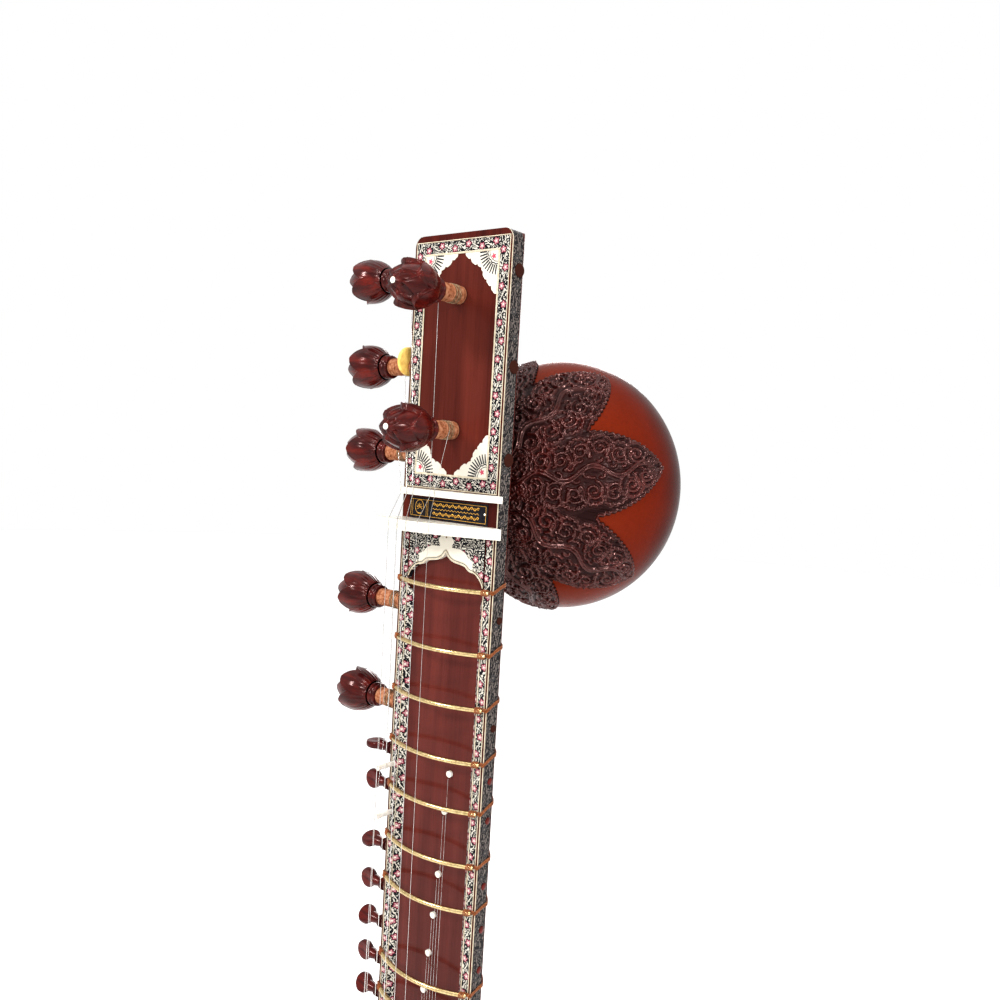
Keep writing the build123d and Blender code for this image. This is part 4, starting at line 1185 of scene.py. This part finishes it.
THROAT_POLAR = math.degrees(math.acos((THROAT_START - GOURD_R) / GOURD_R))
throat_leaves = leaf_sheet("throat_carving", BACK_AZIMUTHS, BACK_TIPS, 72.0, THROAT_POLAR, int(900 * detail), int(150 * detail),
                           BackGourdPlace(), 11, carved_lacquer, "root", scale=1.4)
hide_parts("throat_leaves")


# ---- Main pegs -----------------------------------------------------------------
# Each big peg is turned from rosewood. Its head is carved as a lotus bud with three
# rings of petals and a bone dot; the bare shaft is rubbed with chalk for grip.
HEAD_LENGTH = 46.0
HEAD_R = 18.8
SHAFT_R = 6.9
PETALS = 5


def smooth_step(value):
    value = max(0.0, min(1.0, value))
    return value * value * (3 - 2 * value)


def bud_radius(t):
    """Bare radius of the bud from its collar (0) to its tip (1)."""
    return 14.0 * max(0.0, math.sin(math.pi * (0.12 + 0.86 * t))) ** 0.68


def petal_lift(t, angle, first, last, turn):
    """How far a ring of petals stands off the bud, or None where there is no petal."""
    part = (t - first) / (last - first)
    if not 0.0 <= part <= 1.0:
        return None
    sector = 2 * math.pi / PETALS
    local = ((angle + turn + sector / 2) % sector) - sector / 2
    half = 0.64 * sector * max(0.0, 1 - part ** 2.6) ** 0.66
    if half <= 0.0 or abs(local) >= half:
        return None
    side = abs(local) / half
    rim = 0.45 * math.exp(-((0.90 - side) / 0.06) ** 2)
    fade = max(0.0, 1 - 1.5 * part) * smooth_step(part / 0.08)
    veins = 0.22 * math.cos(side * 20.0 - 4.0 * part) * fade
    flare = 2.6 * part ** 6
    belly = 1.0 - 0.25 * side ** 2
    return smooth_step((1 - side) / 0.05) * (belly + rim + veins + flare)


def lotus_radius(t, angle):
    base = bud_radius(t)
    outer = petal_lift(t, angle, 0.0, 0.70, 0.0)
    if outer is not None:
        return base + 2.3 + outer
    inner = petal_lift(t, angle, 0.10, 0.93, math.pi / PETALS)
    if inner is not None:
        return base + 0.4 + inner
    core = petal_lift(t, angle, 0.30, 0.99, 0.0)
    return base - 0.9 + (0.9 * core if core is not None else 0.0)


def peg_wood():
    """Rosewood under dark red lacquer, streaked with brighter red."""
    material, tree, shader = new_material("peg_lacquer", (0.10, 0.012, 0.010), 0.18, 0.08, 0.05)
    grain = noise(tree, place_mm(tree, (0.03, 0.16, 0.16)), 1.0, 4)
    stops = [(0.32, (0.026, 0.003, 0.003)), (0.50, (0.055, 0.005, 0.004)), (0.68, (0.120, 0.010, 0.006))]
    tree.links.new(color_ramp(tree, grain, stops), shader.inputs["Base Color"])
    shader.inputs["Specular Tint"].default_value = (1.0, 0.66, 0.62, 1.0)
    shader.inputs["IOR"].default_value = 1.38
    vary_roughness(tree, shader, grain, 0.16, 0.28)
    return material


def chalky_wood():
    """Pale bare wood, chalked and scored by the string."""
    material, tree, shader = new_material("chalked_shaft", (0.55, 0.30, 0.16), 0.75)
    flecks = noise(tree, place_mm(tree, (0.35, 0.35, 0.35)), 1.0, 6, 0.75)
    rings = noise(tree, place_mm(tree, (0.9, 0.05, 0.05)), 1.0, 3, 0.7)
    mixed = calc(tree, "MULTIPLY_ADD", flecks, 0.65, calc(tree, "MULTIPLY", rings, 0.35))
    beyond = calc(tree, "GREATER_THAN", split_xyz(tree, place_mm(tree))[0], 0.0)
    tone = color_ramp(tree, mixed, [(0.36, (0.10, 0.030, 0.014)), (0.47, (0.30, 0.115, 0.055)), (0.60, (0.50, 0.26, 0.155))])
    tree.links.new(blend_colors(tree, beyond, tone, (0.05, 0.015, 0.010)), shader.inputs["Base Color"])
    add_bump(tree, shader, mixed, 0.6, 0.6)
    return material


peg_lacquer = peg_wood()
chalked_shaft = chalky_wood()
wire_metal = metal_material("wire_metal", (0.55, 0.54, 0.52), (0.86, 0.85, 0.83), 0.22)
winding_metal = metal_material("winding_metal", (0.16, 0.10, 0.055), (0.42, 0.31, 0.20), 0.35)


def lathe(profile, segments=48):
    """Points and faces of a shape turned about X from (x, radius) pairs."""
    points, faces = [], []
    for x, radius in profile:
        for k in range(segments):
            turn = 2 * math.pi * k / segments
            points.append((x, radius * math.cos(turn), radius * math.sin(turn)))
    for ring in range(len(profile) - 1):
        for k in range(segments):
            after = (k + 1) % segments
            faces.append((ring * segments + k, (ring + 1) * segments + k, (ring + 1) * segments + after, ring * segments + after))
    faces.append(tuple(range(segments)))
    faces.append(tuple((len(profile) - 1) * segments + k for k in range(segments))[::-1])
    return points, faces


def tube(line, radius, sides=8, closed=False):
    """Round tube along points; radius is one number or one per point."""
    count = len(line)
    points, faces = [], []
    side = None
    for i, place in enumerate(line):
        before = Vector(line[(i - 1) % count] if closed or i else line[0])
        after = Vector(line[(i + 1) % count] if closed or i < count - 1 else line[-1])
        along = (after - before).normalized()
        if side is None:
            side = along.orthogonal().normalized()
        side = (side - along * side.dot(along)).normalized()
        up = along.cross(side)
        r = radius[i] if isinstance(radius, (list, tuple)) else radius
        for k in range(sides):
            turn = 2 * math.pi * k / sides
            offset = side * (r * math.cos(turn)) + up * (r * math.sin(turn))
            points.append(tuple(Vector(place) + offset))
    for i in range(count if closed else count - 1):
        j = (i + 1) % count
        for k in range(sides):
            after = (k + 1) % sides
            faces.append((i * sides + k, i * sides + after, j * sides + after, j * sides + k))
    if not closed:
        faces.append(tuple(range(sides))[::-1])
        faces.append(tuple((count - 1) * sides + k for k in range(sides)))
    return points, faces


def lotus_mesh():
    """Head along -X from its collar at x = 0, with its bone dot's seat at the tip."""
    columns, rows = int(192 * detail), int(150 * detail)
    points, faces = [], []
    for row in range(rows + 1):
        t = row / rows
        for column in range(columns):
            angle = 2 * math.pi * column / columns
            radius = min(HEAD_R, lotus_radius(t, angle))
            points.append((-7.5 - (HEAD_LENGTH - 8.0) * t, radius * math.cos(angle), radius * math.sin(angle)))
    for row in range(rows):
        for column in range(columns):
            after = (column + 1) % columns
            faces.append((row * columns + column, (row + 1) * columns + column, (row + 1) * columns + after, row * columns + after))
    faces.append(tuple((rows * columns) + k for k in range(columns))[::-1])
    collar, collar_faces = lathe([(0.0, 7.0), (-0.4, 8.6), (-1.6, 9.3), (-2.6, 8.8), (-3.2, 7.6), (-4.0, 7.5), (-4.8, 9.0),
                                  (-6.0, 9.6), (-7.2, 9.2), (-8.6, 7.4), (-9.4, 5.0)], 64)
    base = len(points)
    points += collar
    faces += [tuple(base + i for i in face) for face in collar_faces]
    return points, faces


lotus_points, lotus_faces = lotus_mesh()


def shaft_profile(shoulder, wall, thin, tip, step):
    """Chalked shaft outline, slightly uneven where the string bites."""
    profile = [(-shoulder - 0.6, SHAFT_R - 0.2)]
    for k in range(22):
        x = -shoulder + (shoulder - wall) * k / 21
        profile.append((x, SHAFT_R - 0.12 + 0.10 * math.sin(k * 2.1)))
    profile += [(-wall + 0.4, SHAFT_R - 0.05), (step, SHAFT_R - 0.05), (step + 0.3, thin), (tip - 0.8, thin), (tip, thin - 0.7)]
    return profile


def make_peg(body, origin, turn, roll, shoulder, wall, thin, tip, step, coil_at):
    """One carved peg in place of its CAD node: head, dot, shaft and wound string."""
    frame_matrix = Matrix.Translation(Vector(origin) / 1000) @ turn @ Matrix.Rotation(math.radians(roll), 4, "X")
    pieces = []
    head = mesh_piece(f"{body}_head", [(x - shoulder, y, z) for x, y, z in lotus_points], lotus_faces, peg_lacquer, body=None)
    shaft_points, shaft_faces = lathe(shaft_profile(shoulder, wall, thin, tip, step), 40)
    shaft = mesh_piece(f"{body}_shaft", shaft_points, shaft_faces, chalked_shaft, body=None, sharp=40)
    dot_points, dot_faces = lathe([(-shoulder - HEAD_LENGTH + 0.6, 2.3), (-shoulder - HEAD_LENGTH + 0.1, 2.2),
                                   (-shoulder - HEAD_LENGTH - 0.1, 1.6), (-shoulder - HEAD_LENGTH - 0.2, 0.6)], 24)
    dot = mesh_piece(f"{body}_bone_dot", dot_points, dot_faces, bone, body=None)
    turns = 7
    coil = []
    for k in range(turns * 20 + 1):
        t = k / (turns * 20)
        angle = 2 * math.pi * turns * t
        radius = SHAFT_R + 0.14
        coil.append((coil_at + 7.0 * t + 0.5 * math.sin(angle * 0.7), radius * math.cos(angle), radius * math.sin(angle)))
    coil_points, coil_faces = tube(coil, 0.24, 6)
    winding = mesh_piece(f"{body}_winding", coil_points, coil_faces, winding_metal, body=None)
    for piece, finish in ((head, "carved_wood"), (shaft, "boss_wood"), (dot, "bone"), (winding, "string_steel")):
        piece.matrix_world = frame_matrix
        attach(piece, body)
        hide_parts(body)
        pieces.append(piece)
    return pieces


straight = Matrix.Identity(4)
for number, name in enumerate(("side_peg_1", "side_peg_2", "side_peg_3", "chikari_peg_1", "chikari_peg_2")):
    low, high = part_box(name)
    origin = (0.0, (low.y + high.y) * 500, (low.z + high.z) * 500)
    thin = 4.95 if name.startswith("side") else 2.75
    shoulder = -low.x * 1000 - HEAD_LENGTH
    make_peg(name, origin, straight, 17 * number, shoulder, NECK_HALF, thin, NECK_HALF + 1.5, -NECK_HALF + 8.6, -60.0)
outward = Matrix.Rotation(math.radians(90), 4, "Z")
for number, name in enumerate(("front_peg_1", "front_peg_2")):
    low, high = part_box(name)
    origin = (0.0, FACE_Y, (low.z + high.z) * 500)
    make_peg(name, origin, outward, 11 + 23 * number, 24.0, 0.0, 4.95, 39.0, 19.6, -12.0)

disc_profile = [(-1.0, 0.4), (-1.0, 8.4), (-1.3, 10.2), (-0.8, 11.0), (0.8, 11.0), (1.3, 10.2), (1.0, 8.4), (1.0, 0.4)]
disc_points, disc_faces = lathe(disc_profile, 48)
pale_disc_material = plain_celluloid("pale_disc", (0.88, 0.66, 0.22), (0.74, 0.48, 0.13))
disc = mesh_piece("side_peg_2_collar", disc_points, disc_faces, pale_disc_material, body=None)
low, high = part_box("side_peg_2")
disc.matrix_world = Matrix.Translation((-0.0525, (low.y + high.y) / 2 - 0.0060, (low.z + high.z) / 2 + 0.0038))
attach(disc, "side_peg_2")


# ---- Tarab pegs ----------------------------------------------------------------
# The sympathetic strings have small turned pegs with flat round thumb-pieces.
def thumb_mesh():
    """Flat faceted thumb-piece with a rim, centred on its own axis (along Z)."""
    rings = ((0.0, 2.2), (3.5, 2.6), (6.2, 3.1), (7.4, 2.9), (7.95, 1.6), (8.0, 0.0))
    segments = 48
    points, faces = [], []
    for sign in (1, -1):
        for radius, height in rings:
            for k in range(segments):
                turn = 2 * math.pi * k / segments
                facet = 1 - 0.012 * (1 + math.cos(8 * turn)) * (radius / 8.0)
                taper = 0.84 + 0.16 * radius / 8.0 * math.cos(turn)
                points.append((radius * facet * math.cos(turn), radius * facet * math.sin(turn), sign * height * taper))
    for block_start, flip in ((0, False), (len(rings) * segments, True)):
        for ring in range(len(rings) - 1):
            for k in range(segments):
                after = (k + 1) % segments
                quad = (block_start + ring * segments + k, block_start + (ring + 1) * segments + k,
                        block_start + (ring + 1) * segments + after, block_start + ring * segments + after)
                faces.append(quad[::-1] if flip else quad)
    return points, faces


thumb_points, thumb_faces = thumb_mesh()
TARAB_LEFT = -NECK_HALF - 7
for number in range(1, 12):
    name = f"tarab_peg_{number:02d}"
    low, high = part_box(name)
    middle = ((low.y + high.y) / 2, (low.z + high.z) / 2)
    roll = 90 if number % 2 == 0 else 11 * (number - 1)
    place = Matrix.Translation((0, middle[0], middle[1])) @ Matrix.Rotation(math.radians(roll), 4, "X")
    stem_profile = [(TARAB_LEFT - 13.0, 4.4), (TARAB_LEFT - 10.5, 4.3), (TARAB_LEFT - 7.5, 3.5), (TARAB_LEFT - 5.0, 3.3),
                    (TARAB_LEFT - 4.2, 4.6), (TARAB_LEFT - 3.2, 4.9), (TARAB_LEFT - 2.4, 3.9), (TARAB_LEFT - 1.6, 4.9),
                    (TARAB_LEFT - 0.6, 4.8), (TARAB_LEFT, 3.7), (-NECK_HALF + 8.6, 3.5), (-NECK_HALF + 8.9, 2.75),
                    (NECK_HALF + 0.6, 2.75), (NECK_HALF + 1, 2.1)]
    stem_points, stem_faces = lathe(stem_profile, 32)
    base = len(stem_points)
    shifted = [(x + TARAB_LEFT - 19, y, z) for x, y, z in thumb_points]
    all_faces = stem_faces + [tuple(base + i for i in face) for face in thumb_faces]
    peg = mesh_piece(f"{name}_turned", stem_points + shifted, all_faces, peg_lacquer, body=None, sharp=50)
    peg.matrix_world = place
    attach(peg, name)
    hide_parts(name)


# ---- Frets ---------------------------------------------------------------------
# Each fret is a brass rod bent to an arch. Waxed orange-brown thread is wound over
# both of its ends and round the neck's back, so that the player can slide it.
FRET_R = 1.8
FRET_HALF = 45.0
fret_brass = metal_material("fret_brass", (0.42, 0.31, 0.14), (0.72, 0.57, 0.32), 0.22)


def thread_material():
    """Waxed twisted cotton."""
    material, tree, shader = new_material("tie_thread", (0.42, 0.13, 0.03), 0.6)
    fibre = noise(tree, place_mm(tree), 1.1, 4, 0.7)
    tone = color_ramp(tree, fibre, [(0.32, (0.09, 0.024, 0.008)), (0.52, (0.26, 0.075, 0.016)), (0.68, (0.45, 0.17, 0.045))])
    tree.links.new(tone, shader.inputs["Base Color"])
    shader.inputs["Sheen Weight"].default_value = 0.3
    add_bump(tree, shader, fibre, 0.5, 0.3)
    return material


tie_thread = thread_material()


def neck_loop(grow, climb, shift, phase):
    """Path of a thread from the right end of a fret, round the back, to the left end."""
    places = []
    half = NECK_HALF + grow
    front = FACE_Y - grow
    for k in range(7):
        places.append((FRET_HALF - 0.5 + (half - FRET_HALF + 0.5) * k / 6, front, 0.0))
    for k in range(1, 9):
        places.append((half, front + (BAND_Y - front) * k / 8, climb * k / 8))
    spread = math.asin(NECK_HALF / BACK_R)
    for k in range(1, 37):
        turn = spread * (1 - 2 * k / 37)
        reach = BACK_R + grow
        places.append((reach * math.sin(turn), BAND_Y + BACK_RISE - BACK_R + reach * math.cos(turn), climb * (1 - k / 37)))
    for k in range(9):
        places.append((-half, BAND_Y + (front - BAND_Y) * k / 8, 0.0))
    for k in range(1, 7):
        places.append((-half + (half - FRET_HALF + 0.5) * k / 6, front, 0.0))
    return [(x, y, z + shift + 0.35 * math.sin(index * 0.7 + phase)) for index, (x, y, z) in enumerate(places)]


fret_arch_rise = 16.0 - 2 * FRET_R - 0.1
fret_radius = (FRET_HALF ** 2 + fret_arch_rise ** 2) / (2 * fret_arch_rise)
for number in range(1, 20):
    name = f"fret_{number:02d}"
    low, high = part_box(name)
    z = (low.z + high.z) * 500
    climb = 5.0 if number <= 5 else 2.6 if number <= 12 else 1.0
    angle = math.asin(FRET_HALF / fret_radius)
    line = []
    for k in range(41):
        a = -angle + 2 * angle * k / 40
        y = FACE_Y - FRET_R - 0.1 - (fret_radius * math.cos(a) - fret_radius * math.cos(angle))
        line.append((fret_radius * math.sin(a), y, z))
    radii = [FRET_R] * 41
    radii[0] = radii[-1] = FRET_R * 0.8
    rod_points, rod_faces = tube(line, radii, 18)
    rod = mesh_piece(f"{name}_rod", rod_points, rod_faces, fret_brass, body=name, sharp=60)
    thread_points, thread_faces = [], []
    for strand in range(4):
        shift = -1.05 + 0.70 * strand
        path = [(x, y, z + dz) for x, y, dz in neck_loop(0.55 + 0.22 * (strand % 2), climb, shift, strand * 1.9)]
        more_points, more_faces = tube(path, 0.46, 6)
        base = len(thread_points)
        thread_points += more_points
        thread_faces += [tuple(base + i for i in face) for face in more_faces]
    for end in (-1, 1):
        for wrap in range(4):
            loop = []
            centre_x = end * (FRET_HALF - 0.9 - 0.95 * wrap)
            a = math.asin(centre_x / fret_radius)
            centre_y = FACE_Y - FRET_R - 0.1 - (fret_radius * math.cos(a) - fret_radius * math.cos(angle))
            for k in range(16):
                turn = 2 * math.pi * k / 16
                loop.append((centre_x, min(centre_y + (FRET_R + 0.3) * math.cos(turn), FACE_Y - 0.45), z + (FRET_R + 0.35) * math.sin(turn)))
            more_points, more_faces = tube(loop, 0.44, 6, closed=True)
            base = len(thread_points)
            thread_points += more_points
            thread_faces += [tuple(base + i for i in face) for face in more_faces]
    thread = mesh_piece(f"{name}_thread", thread_points, thread_faces, tie_thread, body=name)
    for piece in (rod, thread):
        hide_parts(name)


# ---- Bridges, tailpiece and bone fittings ----------------------------------------
# The main bridge is a bone plate on a wooden stand; a small bone bridge in front of
# it carries the sympathetic strings, and all strings end at the bone tailpiece.
for name, material, width in (("bridge_plate", bone, 0.9), ("tarab_bridge", bone, 0.8), ("tailpiece", bone, 0.8),
                              ("bridge_base", carved_lacquer, 1.2), ("bone_fittings", bone, 0.35), ("tuning_bead", bone, 0.2)):
    paint(name, material)
    smooth_node(name)
    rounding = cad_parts[name].modifiers.new("filed_edges", "BEVEL")
    rounding.width = width / 1000
    rounding.segments = 3
    rounding.limit_method = "ANGLE"
    rounding.angle_limit = math.radians(40)


# ---- Strings ---------------------------------------------------------------------
# Plain steel and bronze wire, pulled tight from the pegs over the bone plates and
# bridges to the tailpiece.
for name in ("main_strings", "tarab_strings"):
    paint(name, wire_metal)
    smooth_node(name, 60)
